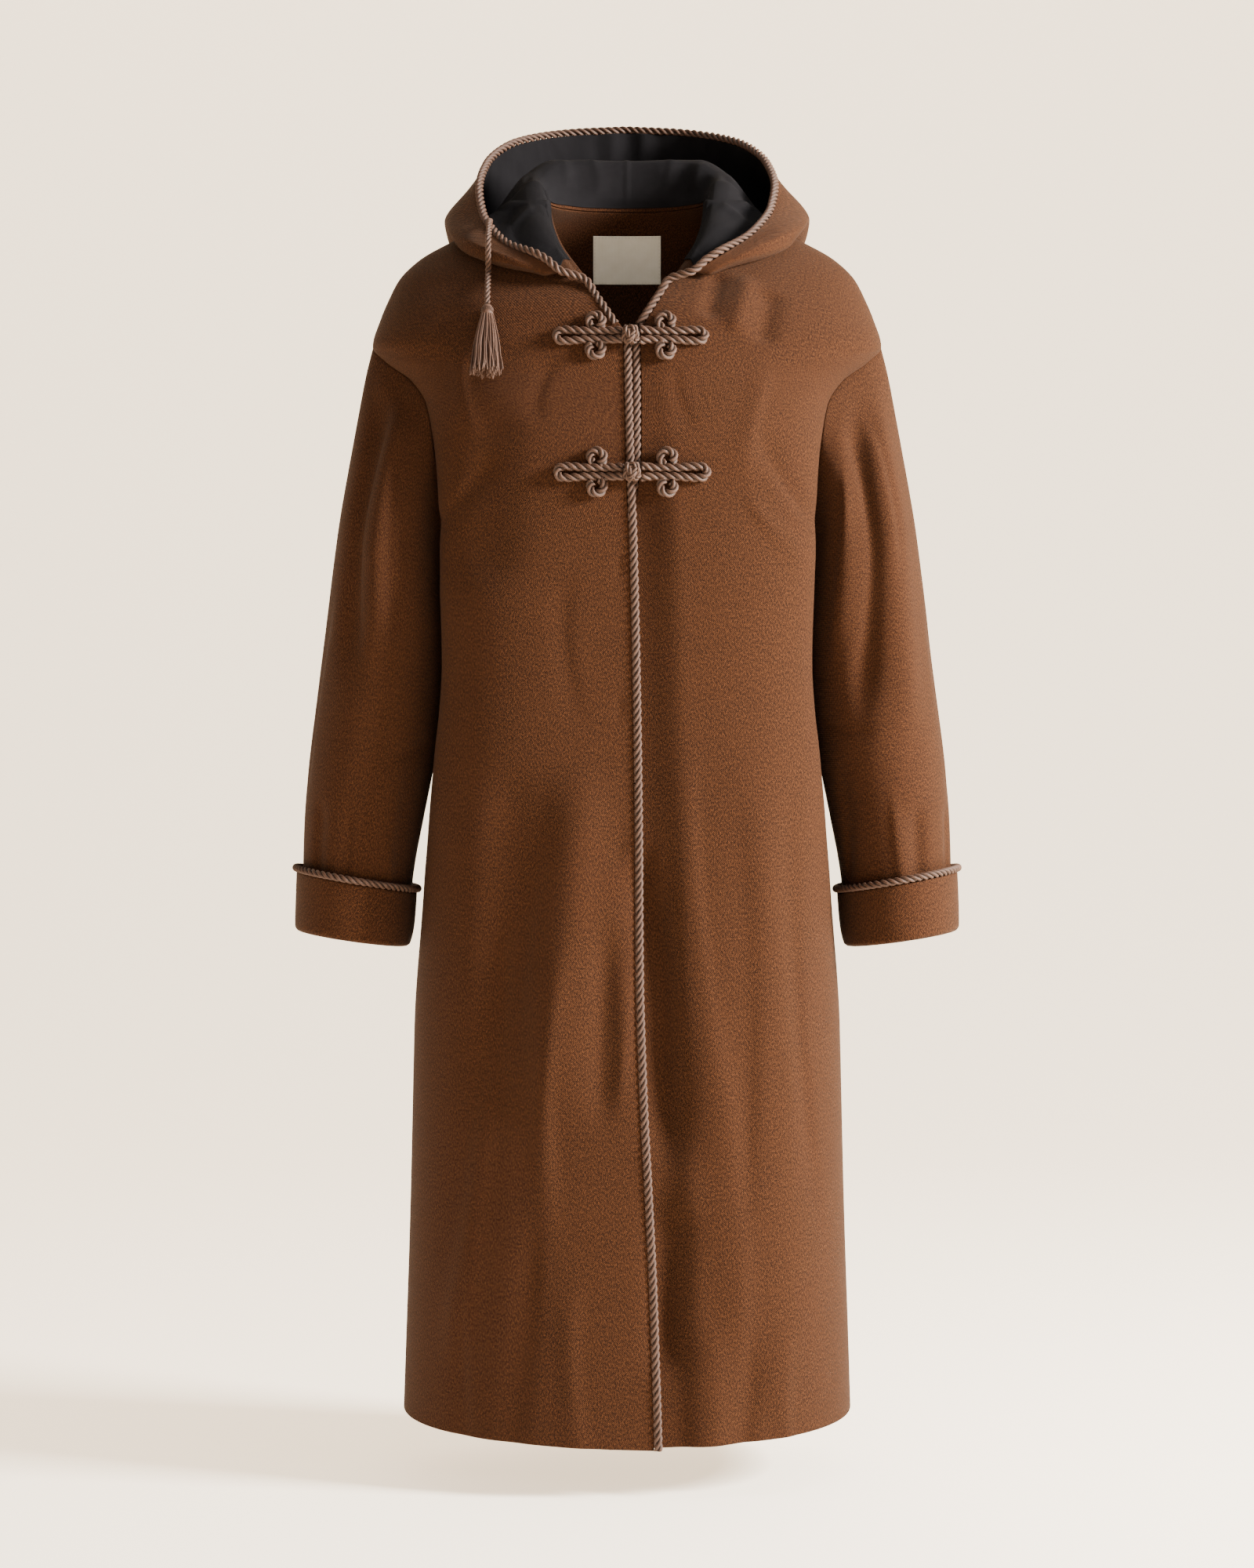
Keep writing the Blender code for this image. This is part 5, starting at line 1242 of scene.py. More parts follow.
@dataclass
class Parts:
    """Collects the faces of one piece, with its own map in metres."""

    points: list[np.ndarray] = field(default_factory=list)
    quads: list[np.ndarray] = field(default_factory=list)
    maps: list[np.ndarray] = field(default_factory=list)
    caps: list[tuple[int, ...]] = field(default_factory=list)
    # Per point, how far a cord's strand faces into the grooves: the share of painted shade there, 0
    # on walls.
    groove_shade_mask: list[np.ndarray] = field(default_factory=list)
    count: int = 0

    def add(self, points: np.ndarray, quads: np.ndarray, places: np.ndarray) -> int:
        """Adds points and quads with a map place per corner, and gives the first index."""
        first = self.count
        self.points.append(points.reshape(-1, 3))
        self.quads.append(quads.reshape(-1, 4) + first)
        self.maps.append(places.reshape(-1, 4, 2))
        self.groove_shade_mask.append(np.zeros(points.size // 3))
        self.count += len(self.points[-1])
        return first

    def wall(self, outer: np.ndarray, inner: np.ndarray, closed: bool = False) -> None:
        """A cloth wall: outward = across x up, with quads round every cut edge.

        Args:
            outer: the outer face's rows and columns.
            inner: the inner face's rows and columns.
            closed: whether the columns run round.
        """
        rows, cols = outer.shape[:2]
        wrap = np.concatenate([outer, outer[:, :1]], axis=1) if closed else outer
        u, v = runs(wrap, 1), runs(wrap, 0)
        u = u - u[:, -1:] / 2
        inside = rows * cols
        r, c = np.meshgrid(np.arange(rows - 1), np.arange(wrap.shape[1] - 1), indexing="ij")
        end_r, end_c = rows - 1, wrap.shape[1] - 1
        rr, cc = np.arange(rows - 1), np.arange(wrap.shape[1] - 1)
        zero_c, zero_r = 0 * cc, 0 * rr
        corners = [
            ([r, r, r + 1, r + 1], [c, c + 1, c + 1, c], [0, 0, 0, 0]),
            ([r, r + 1, r + 1, r], [c, c, c + 1, c + 1], [1, 1, 1, 1]),
            ([zero_c] * 4, [cc, cc, cc + 1, cc + 1], [0, 1, 1, 0]),
            ([zero_c + end_r] * 4, [cc, cc + 1, cc + 1, cc], [0, 0, 1, 1]),
        ]
        if not closed:
            corners.append(([rr, rr + 1, rr + 1, rr], [zero_r] * 4, [0, 0, 1, 1]))
            corners.append(([rr, rr, rr + 1, rr + 1], [zero_r + end_c] * 4, [0, 1, 1, 0]))
        quads, places = [], []
        for row, col, layer in corners:
            row = np.stack(row, -1).reshape(-1, 4)
            col = np.stack(col, -1).reshape(-1, 4)
            quads.append(row * cols + col % cols + np.array(layer) * inside)
            places.append(np.stack([u[row, col], v[row, col]], -1))
        self.add(np.concatenate([outer.reshape(-1, 3), inner.reshape(-1, 3)]),
                 np.concatenate(quads), np.concatenate(places))

    def tubes(self, grid: np.ndarray, trim: Trim = Trim.OPEN) -> None:
        """Round strands side by side: quads between rings, and a face on each open end.

        Args:
            grid: strands x rings x sides of points.
            trim: whether the strands close on themselves.
        """
        strands, rings, sides = grid.shape[:3]
        ring = trim is Trim.RING
        s, n, k = np.meshgrid(np.arange(strands), np.arange(rings if ring else rings - 1),
                              np.arange(sides), indexing="ij")
        place = [s] * 4, [n, n, n + 1, n + 1], [k, k + 1, k + 1, k]
        s, n, k = [np.stack(part, -1).reshape(-1, 4) for part in place]
        middle = grid.mean(axis=2)
        step = np.linalg.norm(np.diff(middle, axis=1), axis=-1)
        run = np.concatenate([np.zeros((strands, 1)), np.cumsum(step, axis=1)], axis=1)
        run = np.concatenate([run, run[:, -1:] + step[:, -1:]], axis=1)
        girth = np.linalg.norm(grid[0, 0, 0] - middle[0, 0]) * 2 * math.pi
        quads = (s * rings + n % rings) * sides + k % sides
        first = self.add(grid, quads, np.stack([k / sides * girth + s * 0.05, run[s, n]], -1))
        spin = np.linspace(0.0, 2 * math.pi, sides, endpoint=False)
        # Painted shade mask of a three-strand cord: 0 where a strand faces out, 1 where it faces into
        # the grooves.
        self.groove_shade_mask[-1] = np.tile((1 - np.cos(spin)) / 2, strands * rings) * (strands == 3)
        if not ring:
            for strand in range(strands):
                low = first + strand * rings * sides
                high = low + (rings - 1) * sides
                self.caps.append(tuple(range(low + sides - 1, low - 1, -1)))
                self.caps.append(tuple(range(high, high + sides)))

    def piece(self, name: str, finish: bpy.types.Material) -> bpy.types.Object:
        """Makes the piece, with its map and finish.

        Args:
            name: the piece's name.
            finish: its material.

        Returns:
            the piece's object.
        """
        quads = np.concatenate(self.quads)
        mesh = bpy.data.meshes.new(name)
        mesh.from_pydata(np.concatenate(self.points).tolist(), [], quads.tolist() + self.caps)
        layer = mesh.uv_layers.new(name="cloth")
        places = np.zeros((len(mesh.loops), 2))
        mapped = np.concatenate(self.maps).reshape(-1, 2)
        places[: len(mapped)] = mapped
        layer.data.foreach_set("uv", places.ravel())
        # The mask of painted shade in the grooves is kept on the mesh for the cord's finish.
        depth = mesh.attributes.new("groove_shade", "FLOAT", "POINT")
        depth.data.foreach_set("value", np.concatenate(self.groove_shade_mask).astype(np.float32))
        mesh.shade_smooth()
        mesh.materials.append(finish)
        made = bpy.data.objects.new(name, mesh)
        bpy.context.collection.objects.link(made)
        LOG.info("%s: %d faces", name, len(mesh.polygons))
        return made


# Finishes


class Value:
    """One socket, on which plain arithmetic adds Math nodes."""

    def __init__(self, graph: "Graph", socket: bpy.types.NodeSocket) -> None:
        """Keeps the socket and the graph it stands in."""
        self.graph = graph
        self.socket = socket

    def _math(self, operation: str, first: Any, second: Any) -> "Value":
        """Adds one Math node of the named operation and gives its result."""
        return self.graph.node("ShaderNodeMath", {"operation": operation}, {0: first, 1: second})

    def __add__(self, other: Any) -> "Value":
        """Sum."""
        return self._math("ADD", self, other)

    __radd__ = __add__

    def __mul__(self, other: Any) -> "Value":
        """Product."""
        return self._math("MULTIPLY", self, other)

    __rmul__ = __mul__

    def __sub__(self, other: Any) -> "Value":
        """Difference."""
        return self._math("SUBTRACT", self, other)

    def __rsub__(self, other: Any) -> "Value":
        """Difference from a number."""
        return self._math("SUBTRACT", other, self)

    def __pow__(self, other: Any) -> "Value":
        """Power."""
        return self._math("POWER", self, other)


class Graph:
    """A material's nodes."""

    def __init__(self, name: str, roughness: float) -> None:
        """Starts a material of the name and roughness."""
        self.material = bpy.data.materials.new(name)
        self.material.use_nodes = True
        self.tree = self.material.node_tree
        self.shader = self.tree.nodes["Principled BSDF"]
        self.places = self.node("ShaderNodeUVMap", {"uv_map": "cloth"}, {}, "UV")
        self.tune({"Roughness": roughness})

    def tune(self, values: dict[str, Any]) -> None:
        """Sets plain inputs of the shader."""
        for key, value in values.items():
            self.shader.inputs[key].default_value = value

    def node(self, kind: str, settings: dict[str, Any], sockets: dict[Any, Any],
             output: Any = 0) -> Value:
        """Adds one node.

        Args:
            kind: the node's type.
            settings: its own settings, set first.
            sockets: values or links of its inputs.
            output: which output to give back.

        Returns:
            that output.
        """
        made = self.tree.nodes.new(kind)
        for key, value in settings.items():
            setattr(made, key, value)
        for key, value in sockets.items():
            if isinstance(value, Value):
                self.tree.links.new(value.socket, made.inputs[key])
            else:
                made.inputs[key].default_value = value
        return Value(self, made.outputs[output])

    def scaled(self, across: float, along: float, turn: float = 0.0) -> Value:
        """The piece's map, scaled across and along and turned in radians."""
        return self.node("ShaderNodeMapping", {}, {"Vector": self.places,
                         "Scale": (across, along, 1.0), "Rotation": (0.0, 0.0, turn)})

    def noise(self, places: Value, scale: float, detail: float) -> Value:
        """Soft noise at a scale."""
        return self.node("ShaderNodeTexNoise", {}, {"Vector": places, "Scale": scale,
                                                    "Detail": detail})

    def bands(self, direction: str, scale: float, distortion: float, detail: float = 2.0,
              detail_scale: float = 1.0) -> Value:
        """Light and dark bands at a scale, along one way of the piece's map."""
        return self.node("ShaderNodeTexWave", {"wave_type": "BANDS", "bands_direction": direction},
                         {"Vector": self.places, "Scale": scale, "Distortion": distortion,
                          "Detail": detail, "Detail Scale": detail_scale}, "Fac")

    def blend(self, share: Any, first: Any, second: Any) -> Value:
        """A colour between two colours."""
        return self.node("ShaderNodeMix", {"data_type": "RGBA"}, {0: share, 6: first, 7: second}, 2)

    def finish(self, colour: Value, height: Value, depth: float) -> bpy.types.Material:
        """Links the colour and a bump of a depth, and gives the material."""
        self.tree.links.new(colour.socket, self.shader.inputs["Base Color"])
        bump = self.node("ShaderNodeBump", {}, {"Height": height, "Distance": depth,
                                                "Strength": 0.8})
        self.tree.links.new(bump.socket, self.shader.inputs["Normal"])
        return self.material


@dataclass(frozen=True)
class Twill:
    """Wool twill: diagonal ribs under a short nap, a little uneven in colour."""

    name: str = "wool_twill"
    dark: tuple = (0.0062, 0.0020, 0.0007, 1.0)
    light: tuple = (0.0215, 0.0072, 0.0025, 1.0)
    nap: tuple = (0.086, 0.0310, 0.0112, 1.0)
    sheen: tuple = (0.95, 0.72, 0.56, 1.0)
    rib: float = 330.0
    nap_scale: float = 2000.0
    speck_scale: float = 800.0
    slant: float = 0.785
    depth: float = 0.00060

    def make(self) -> bpy.types.Material:
        """Builds the material: ribs and nap raise the surface, and noise tints it."""
        graph = Graph(self.name, 0.86)
        ribs = graph.bands("DIAGONAL", self.rib, 0.9, 1.0, 2.0)
        nap = graph.noise(graph.scaled(1.0, 0.40, self.slant), self.nap_scale, 2.0)
        specks = graph.noise(graph.scaled(1.0, 0.50, self.slant), self.speck_scale, 2.5)
        patches = graph.noise(graph.places, 34.0, 4.0)
        wide = graph.noise(graph.places, 5.0, 2.0)
        tone = graph.blend(patches * 0.7 + wide * 0.5, self.dark, self.light)
        fibres = (nap - 0.44) * 2.1 + (specks - 0.47) * 2.3 + ribs * 0.14
        graph.tune({"Sheen Weight": 0.03, "Sheen Roughness": 0.55, "Sheen Tint": self.sheen,
                    "Specular IOR Level": 0.08})
        return graph.finish(graph.blend(fibres, tone, self.nap),
                            ribs * 0.40 + nap * 0.8 + specks * 0.9, self.depth)


@dataclass(frozen=True)
class Lining:
    """Black lining cloth, matt, with a fine weave."""

    name: str = "black_lining"
    deep: tuple = (0.0046, 0.0042, 0.0050, 1.0)
    worn: tuple = (0.0105, 0.0098, 0.0112, 1.0)
    weave: float = 420.0
    depth: float = 0.00018

    def make(self) -> bpy.types.Material:
        """Builds the material: warp and weft lines with faint patches."""
        graph = Graph(self.name, 0.90)
        warp, weft = [graph.bands(way, self.weave, 0.4) for way in "XY"]
        patches = graph.noise(graph.places, 40.0, 3.0)
        graph.tune({"Specular IOR Level": 0.06})
        return graph.finish(graph.blend(patches, self.deep, self.worn), warp + weft + patches,
                            self.depth)


@dataclass(frozen=True)
class TwistedCord:
    """Brown cord: fine fibres laid along each strand, with painted shade darkening it between the
    strands.
    """

    name: str = "twisted_cord"
    dark: tuple = (0.0200, 0.0076, 0.0032, 1.0)
    light: tuple = (0.088, 0.0330, 0.0135, 1.0)
    # Colour of the painted shade in the grooves between the strands.
    groove_shade: tuple = (0.0050, 0.0019, 0.0009, 1.0)
    sheen: tuple = (0.95, 0.75, 0.60, 1.0)
    depth: float = 0.00030

    def make(self) -> bpy.types.Material:
        """Builds the material: long noise along the strand, and painted shade where the strands dip
        into the grooves between them.
        """
        graph = Graph(self.name, 0.66)
        fibre = graph.noise(graph.scaled(2600.0, 260.0), 1.0, 3.0)
        patches = graph.noise(graph.places, 120.0, 2.0)
        graph.tune({"Sheen Weight": 0.05, "Sheen Tint": self.sheen})
        # Painted shade: the cord darkens towards the shade colour where its strands face into the
        # grooves.
        groove_shade_mask = graph.node("ShaderNodeAttribute", {"attribute_name": "groove_shade"}, {}, "Fac")
        laid = graph.blend(fibre * 0.8 + patches * 0.35, self.dark, self.light)
        return graph.finish(graph.blend(groove_shade_mask ** 1.6 * 1.25, laid, self.groove_shade), fibre, self.depth)


@dataclass(frozen=True)
class LabelCloth:
    """Cream woven tape, with no words on it."""

    name: str = "cream_label"
    dark: tuple = (0.800, 0.720, 0.560, 1.0)
    light: tuple = (0.960, 0.900, 0.780, 1.0)
    weave: float = 300.0
    depth: float = 0.00020

    def make(self) -> bpy.types.Material:
        """Builds the material: close warp lines and a soft tone."""
        graph = Graph(self.name, 0.7)
        warp = graph.bands("X", self.weave, 0.3)
        patches = graph.noise(graph.places, 90.0, 3.0)
        return graph.finish(graph.blend(patches * 0.8 + warp * 0.25, self.dark, self.light),
                            warp + patches, self.depth)


@dataclass
class Wardrobe:
    """The coat's finishes, made once."""

    wool: bpy.types.Material = field(default_factory=Twill().make)
    lining: bpy.types.Material = field(default_factory=Lining().make)
    cord: bpy.types.Material = field(default_factory=TwistedCord().make)
    label: bpy.types.Material = field(default_factory=LabelCloth().make)
    thread: bpy.types.Material = field(default_factory=LabelCloth(
        "label_thread", (0.55, 0.47, 0.34, 1.0), (0.70, 0.62, 0.47, 1.0)).make)


def declare(piece: bpy.types.Object, node: str) -> bpy.types.Object:
    """Puts a piece on the coat in place of its solid.

    Args:
        piece: the piece.
        node: the solid that it stands for.

    Returns:
        the same piece.
    """
    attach(piece, "root")
    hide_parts(node)
    return piece


def make_sheet(node: str, faces: tuple, finish: bpy.types.Material,
               closed: bool = False) -> None:
    """Args:
        node: the solid that it stands for.
        faces: the rows and columns of its outer and inner face.
        finish: its material.
        closed: whether the columns run round.
    """
    outer, inner = faces
    parts = Parts()
    parts.wall(outer, inner, closed)
    piece = declare(parts.piece("cloth_" + node, finish), node)
    middle = (outer + inner) / 2
    wrap = np.concatenate([middle, middle[:, :1]], axis=1) if closed else middle
    one, two = wrap[1:, 1:] - wrap[:-1, :-1], wrap[1:, :-1] - wrap[:-1, 1:]


# Cloth


@dataclass
class Shell:
    """The body of the coat: two fronts and a back."""

    wardrobe: Wardrobe
    rows: int = 200
    front_columns: int = 84
    back_columns: int = 170
    length: float = 1.17
    front_width: float = 0.20
    back_width: float = 0.40
    neck_row: float = 17.0
    hem_rows: float = 1.2
    turning: float = 0.007

    def _levels(self) -> tuple[np.ndarray, np.ndarray, np.ndarray]:
        """Row places, and the outer and centre edges' heights there."""
        at = graded(self.length, self.rows) * LAST_ROW
        outer, centre = [np.interp(at, np.arange(LAST_ROW + 1), edge)
                         for edge in np.array(EDGE_ROWS[1:]).T]
        return at, outer, centre

    def _thickness(self, points: np.ndarray, normal: np.ndarray, levels: np.ndarray, end: int,
                   side: float) -> np.ndarray:
        """Thickness direction, turned at the armhole to meet the sleeve's."""
        loop, mitre, _ = armhole(side, 240)
        line = points[:, end]
        nearest = np.linalg.norm(line[:, None] - loop[None], axis=-1).argmin(axis=1)
        across = runs(points, 1)
        away = across if end == 0 else across[:, -1:] - across
        here = ((levels > ARMPIT) & (levels < SHOULDER_TIP))[:, None]
        weight = (ease(1.0 - away / self.turning) * here)[..., None]
        return unit(-normal * (1.0 - weight) + mitre[nearest][:, None] * weight)

    def front(self, side: Side) -> None:
        """One front: rows between centre edge and side, armhole or shoulder, bowed to the neck."""
        at, outer_z, centre_z = self._levels()
        weight = np.clip((at - self.neck_row) / (LAST_ROW - self.neck_row), 0.0, 1.0) ** 1.3
        start = front_turn(front_edge(centre_z, side), centre_z)
        end = seam_turn(outer_z, side, "front")
        shares = graded(self.front_width, self.front_columns)
        made = [cloth_row(a, b, low, high, shares, (side, w) if w > 0 else None)
                for a, b, low, high, w in zip(start, end, centre_z, outer_z, weight)]
        turn, height = np.array(made).transpose(1, 0, 2)
        outer = front_cloth(turn, height, side, body_creases(turn, height, FRONT_CREASES))
        thickness = self._thickness(outer, body_normal(turn, height), outer_z, -1, side)
        outer, inner = soften(outer, outer + thickness * CLOTH, WOOL_ROUND, False)
        if side < 0:
            outer, inner = outer[:, ::-1], inner[:, ::-1]
        make_sheet("front_" + side.word, (outer, inner), self.wardrobe.wool)

    def back(self) -> None:
        """The back, in one piece from side seam to side seam."""
        at, outer_z, _ = self._levels()
        start = seam_turn(outer_z, 1, "back")
        end = 2 * math.pi + seam_turn(outer_z, -1, "back")
        shares = graded(self.back_width, self.back_columns)
        made = [cloth_row(a, b, z, z, shares) for a, b, z in zip(start, end, outer_z)]
        turn, height = np.array(made).transpose(1, 0, 2)
        drop = np.clip(1.0 - at / self.hem_rows, 0.0, 1.0)[:, None]
        height = height - BACK_HEM_DROP * drop * np.cos(turn) ** 2
        outer = body(turn, height, body_creases(turn, height, BACK_CREASES))
        normal = body_normal(turn, height)
        left, right = [self._thickness(outer, normal, outer_z, end_at, side)
                       for end_at, side in ((0, 1), (-1, -1))]
        half = outer.shape[1] // 2
        thickness = np.concatenate([left[:, :half], right[:, half:]], axis=1)
        faces = soften(outer, outer + thickness * CLOTH, WOOL_ROUND, False)
        make_sheet("back", faces, self.wardrobe.wool)


@dataclass
class Sleeve:
    """One dropped sleeve and its turned-up cuff."""

    side: Side
    wardrobe: Wardrobe
    rows: int = 130
    columns: int = 144
    cuff_rows: int = 64
    length: float = 0.55
    turning: float = 0.14
    apart: float = 0.0006
    cuff_wave: float = 0.0005
    cuff_seam: float = 0.0008

    def _make(self, word: str, faces: tuple) -> None:
        """Makes one tube of cloth, its faces outwards on either side."""
        if self.side < 0:
            faces = (faces[0][::-1], faces[1][::-1])
        make_sheet(word + self.side.word, faces, self.wardrobe.wool,
                   True)

    def sleeve(self) -> None:
        """The sleeve: rings from the armhole to the seam inside its cuff, with its creases."""
        side = self.side
        loop, mitre, apart = armhole(side, self.columns)
        at = graded(self.length, self.rows) * SLEEVE_RINGS[-1][0]
        turns = np.linspace(0.0, 2 * math.pi, self.columns, endpoint=False)
        ring, turn = np.meshgrid(at, turns, indexing="ij")
        points = sleeve_cloth(ring, turn, side, np.broadcast_to(loop, ring.shape + (3,)))
        rows = in_metres([row[1:] for row in SLEEVE_CREASES if row[0] == side],
                         RING_LENGTH, DEGREE_LENGTH)
        crease = crease_field(ring * RING_LENGTH, np.degrees(turn) * DEGREE_LENGTH, rows)
        normal = grid_normal(points, closed=True) * side
        outer = sleeve_clear(points + normal * crease[..., None], ring)
        outer = outer + apart * (self.apart * ease(1.0 - ring / 0.1))[..., None]
        weight = ease(1.0 - ring / self.turning)[..., None]
        thickness = unit(-normal * (1.0 - weight) + mitre * weight)
        self._make("sleeve_", soften(outer, outer + thickness * CLOTH, WOOL_ROUND, True))

    def cuff(self) -> None:
        """The cuff: a band folded up over the sleeve, a little uneven, with one seam inside."""
        side = self.side
        table = np.array(CUFF_TURN[1:])
        line = smooth_path(np.concatenate([table, table[:, :1] * 0], axis=1), self.cuff_rows)
        turns = np.linspace(0.0, 2 * math.pi, self.columns, endpoint=False)
        height, turn = np.meshgrid(line[:, 0], turns, indexing="ij")
        off = np.repeat(line[:, 1:2], self.columns, axis=1)
        share = np.clip(height / CUFF_TURN[-1][0], 0.0, 1.0) * (off > 0.002)
        off = off + self.cuff_wave * share * np.sin(3.0 * turn + side) * (1 - share)
        off = off - self.cuff_seam * share * np.exp(-(((turn - math.pi) / 0.025) ** 2))
        middle = cuff_line(height, turn, off, side)
        half = grid_normal(middle, closed=True) * side * CLOTH / 2
        self._make("cuff_", soften(middle + half, middle - half, WOOL_ROUND, True))


@dataclass
class Hood:
    """The hood laid open, its lining, and the blank label below it."""

    wardrobe: Wardrobe
    columns: int = 230
    rows: int = 104
    round_length: float = 0.8
    across_length: float = 0.40
    seam_sunk: float = 0.0012
    lining_first: float = 0.05
    stitch_inset: float = 0.0016
    stitch_step: float = 0.0034
    stitch_half: float = 0.0011
    stitch_radius: float = 0.00022

    def shares(self, count: int, ends: int = 0) -> np.ndarray:
        """Places round the neck seam, from one front end to the other."""
        coarse = neck_shares()
        at = ends + graded(self.round_length, count) * (len(coarse) - 1 - 2 * ends)
        return np.interp(at, np.arange(len(coarse)), coarse)

    def grid(self, shares: np.ndarray, first: float) -> tuple[np.ndarray, np.ndarray, np.ndarray]:
        """The hood's middle surface with its creases.

        Args:
            shares: places round the neck.
            first: place across where the cloth starts.

        Returns:
            the points, the outward directions and the places across.
        """
        rows = first + graded(self.across_length, self.rows) * (HOOD_RIM - first)
        share, across = np.meshgrid(shares, rows, indexing="xy")
        points = hood_middle(share, across)
        normal = grid_normal(points, closed=False)
        crease = crease_field(share * SHARE_LENGTH, across * ACROSS_LENGTH,
                              in_metres(HOOD_CREASES, SHARE_LENGTH, ACROSS_LENGTH))
        crease = crease * ease((1.0 - np.abs(share)) / 0.12) * ease(across / 0.5)
        crease = crease - self.seam_sunk * np.exp(-((share / 0.006) ** 2)) * ease(across / 0.4)
        return points + normal * crease[..., None], normal, across

    def shell(self) -> None:
        """The hood's wool, from the neck seam over the roll and round the bag to the rim."""
        shares = self.shares(self.columns)
        middle, normal, across = self.grid(shares, 0.0)
        turn, height = neck_seam(shares)
        seam, out = body(turn, height), body_normal(turn, height)
        inward = unit((0.0, 0.02, 0.0) - seam * (1.0, 1.0, 0.0))
        foot = seam + unit(inward + out) * SEAM_GAP * 2
        weight = ease(1.0 - across / 0.22)[..., None]
        outer = (middle + normal * CLOTH / 2) * (1 - weight) + (foot + middle - middle[0]) * weight
        inner = (middle - normal * CLOTH / 2) * (1 - weight) + (
            foot + unit(inward - out) * CLOTH + middle - middle[0]) * weight
        make_sheet("hood", soften(outer, inner, WOOL_ROUND, False), self.wardrobe.wool)

    def lining(self) -> None:
        """The lining, half a millimetre inside the hood's wool."""
        middle, normal, across = self.grid(self.shares(self.columns - 10, 1), self.lining_first)
        gap = CLOTH / 2 + LINING_GAP + 0.0007 * ease(1.0 - across / 0.6)
        facing = middle - normal * gap[..., None]
        make_sheet("hood_lining", soften(facing, facing - normal * LINING, FINE_ROUND, False),
                   self.wardrobe.lining)

    def label(self) -> None:
        """The blank label."""
        rows = graded(LABEL_TOP - LABEL_FOOT, 22)
        columns = graded(2 * LABEL_HALF_WIDTH, 34)
        heights = LABEL_FOOT + (LABEL_TOP - LABEL_FOOT) * rows
        x, height = np.meshgrid(LABEL_HALF_WIDTH * (2 * columns - 1), heights, indexing="xy")
        face, back = [body(math.pi - front_turn(x, height), height, -LABEL_NEAR - thick)[:, ::-1]
                      for thick in (0.0, LABEL)]
        make_sheet("neck_label", soften(face, back, FINE_ROUND, False), self.wardrobe.label)

    def stitches(self) -> None:
        """Small stitches round the label: short tubes, each bowed a little into the cloth."""
        wide = LABEL_HALF_WIDTH - self.stitch_inset
        low, high = LABEL_FOOT + self.stitch_inset, LABEL_TOP - self.stitch_inset
        across = np.arange(-wide + 0.0012, wide, self.stitch_step)
        upward = np.arange(low + 0.0012, high, self.stitch_step)
        lines = [(across, np.full(across.shape, z), True) for z in (low, high)]
        lines += [(np.full(upward.shape, x), upward, False) for x in (-wide, wide)]
        t = np.linspace(-1.0, 1.0, 5)
        spin = np.linspace(0.0, 2 * math.pi, 6, endpoint=False)
        lift = -LABEL_NEAR - LABEL - 0.00015 + 0.00025 * t**2
        radius = self.stitch_radius * np.sqrt(np.maximum(1.0 - 0.8 * t**2, 0.1))
        parts = Parts()
        for x, z, level in lines:
            step = self.stitch_half * t
            x, z = x[:, None] + step * level, z[:, None] + step * (not level)
            centre = body(math.pi - front_turn(x, z), z, lift)
            first = np.array([0.0, 0.0, 1.0] if level else [1.0, 0.0, 0.0])
            second = np.array([0.0, 1.0 if level else -1.0, 0.0])
            ring = np.outer(np.cos(spin), first) + np.outer(np.sin(spin), second)
            parts.tubes(centre[:, :, None] + ring[None, None] * radius[None, :, None, None])
        thread = parts.piece("label_stitches", self.wardrobe.thread)
        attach(thread, "root")


# Cords


@dataclass
class Rope:
    """A cord of three strands laid round each other."""

    radius: float
    turns_per_width: float = 0.36
    strands: int = 3
    sides: int = 9
    steps: int = 13
    strand_size: float = 0.50
    strand_out: float = 0.53

    def grid(self, points: np.ndarray, trim: Trim = Trim.OPEN) -> np.ndarray:
        """Strand surfaces: centre + 0.53 R round the path, strand radius 0.50 R.

        Args:
            points: the cord's path, in equal steps.
            trim: whether it closes on itself.

        Returns:
            strands x rings x sides of points.
        """
        closed = trim is Trim.RING
        line = np.concatenate([points, points[:1]]) if closed else points
        run = runs(line[None], 1)[0]
        turns = run[-1] / (2 * self.radius / self.turns_per_width)
        turns = max(1, round(turns)) if closed else turns
        at = np.linspace(0.0, run[-1], int(turns * self.steps) + 2, endpoint=not closed)
        path = np.stack([np.interp(at, run, line[:, axis]) for axis in range(3)], -1)
        first, second = carried(path, trim)
        angle = 2 * math.pi * (at / run[-1] * turns)
        strand = 2 * math.pi * np.arange(self.strands) / self.strands
        phase = (angle[None] + strand[:, None])[..., None]
        out = np.cos(phase) * first + np.sin(phase) * second
        around = np.cos(phase + math.pi / 2) * first + np.sin(phase + math.pi / 2) * second
        spin = np.linspace(0.0, 2 * math.pi, self.sides, endpoint=False)[:, None]
        return (path[None] + out * self.radius * self.strand_out)[:, :, None] + (
            self.radius * self.strand_size
            * (np.cos(spin) * out[:, :, None] + np.sin(spin) * around[:, :, None]))


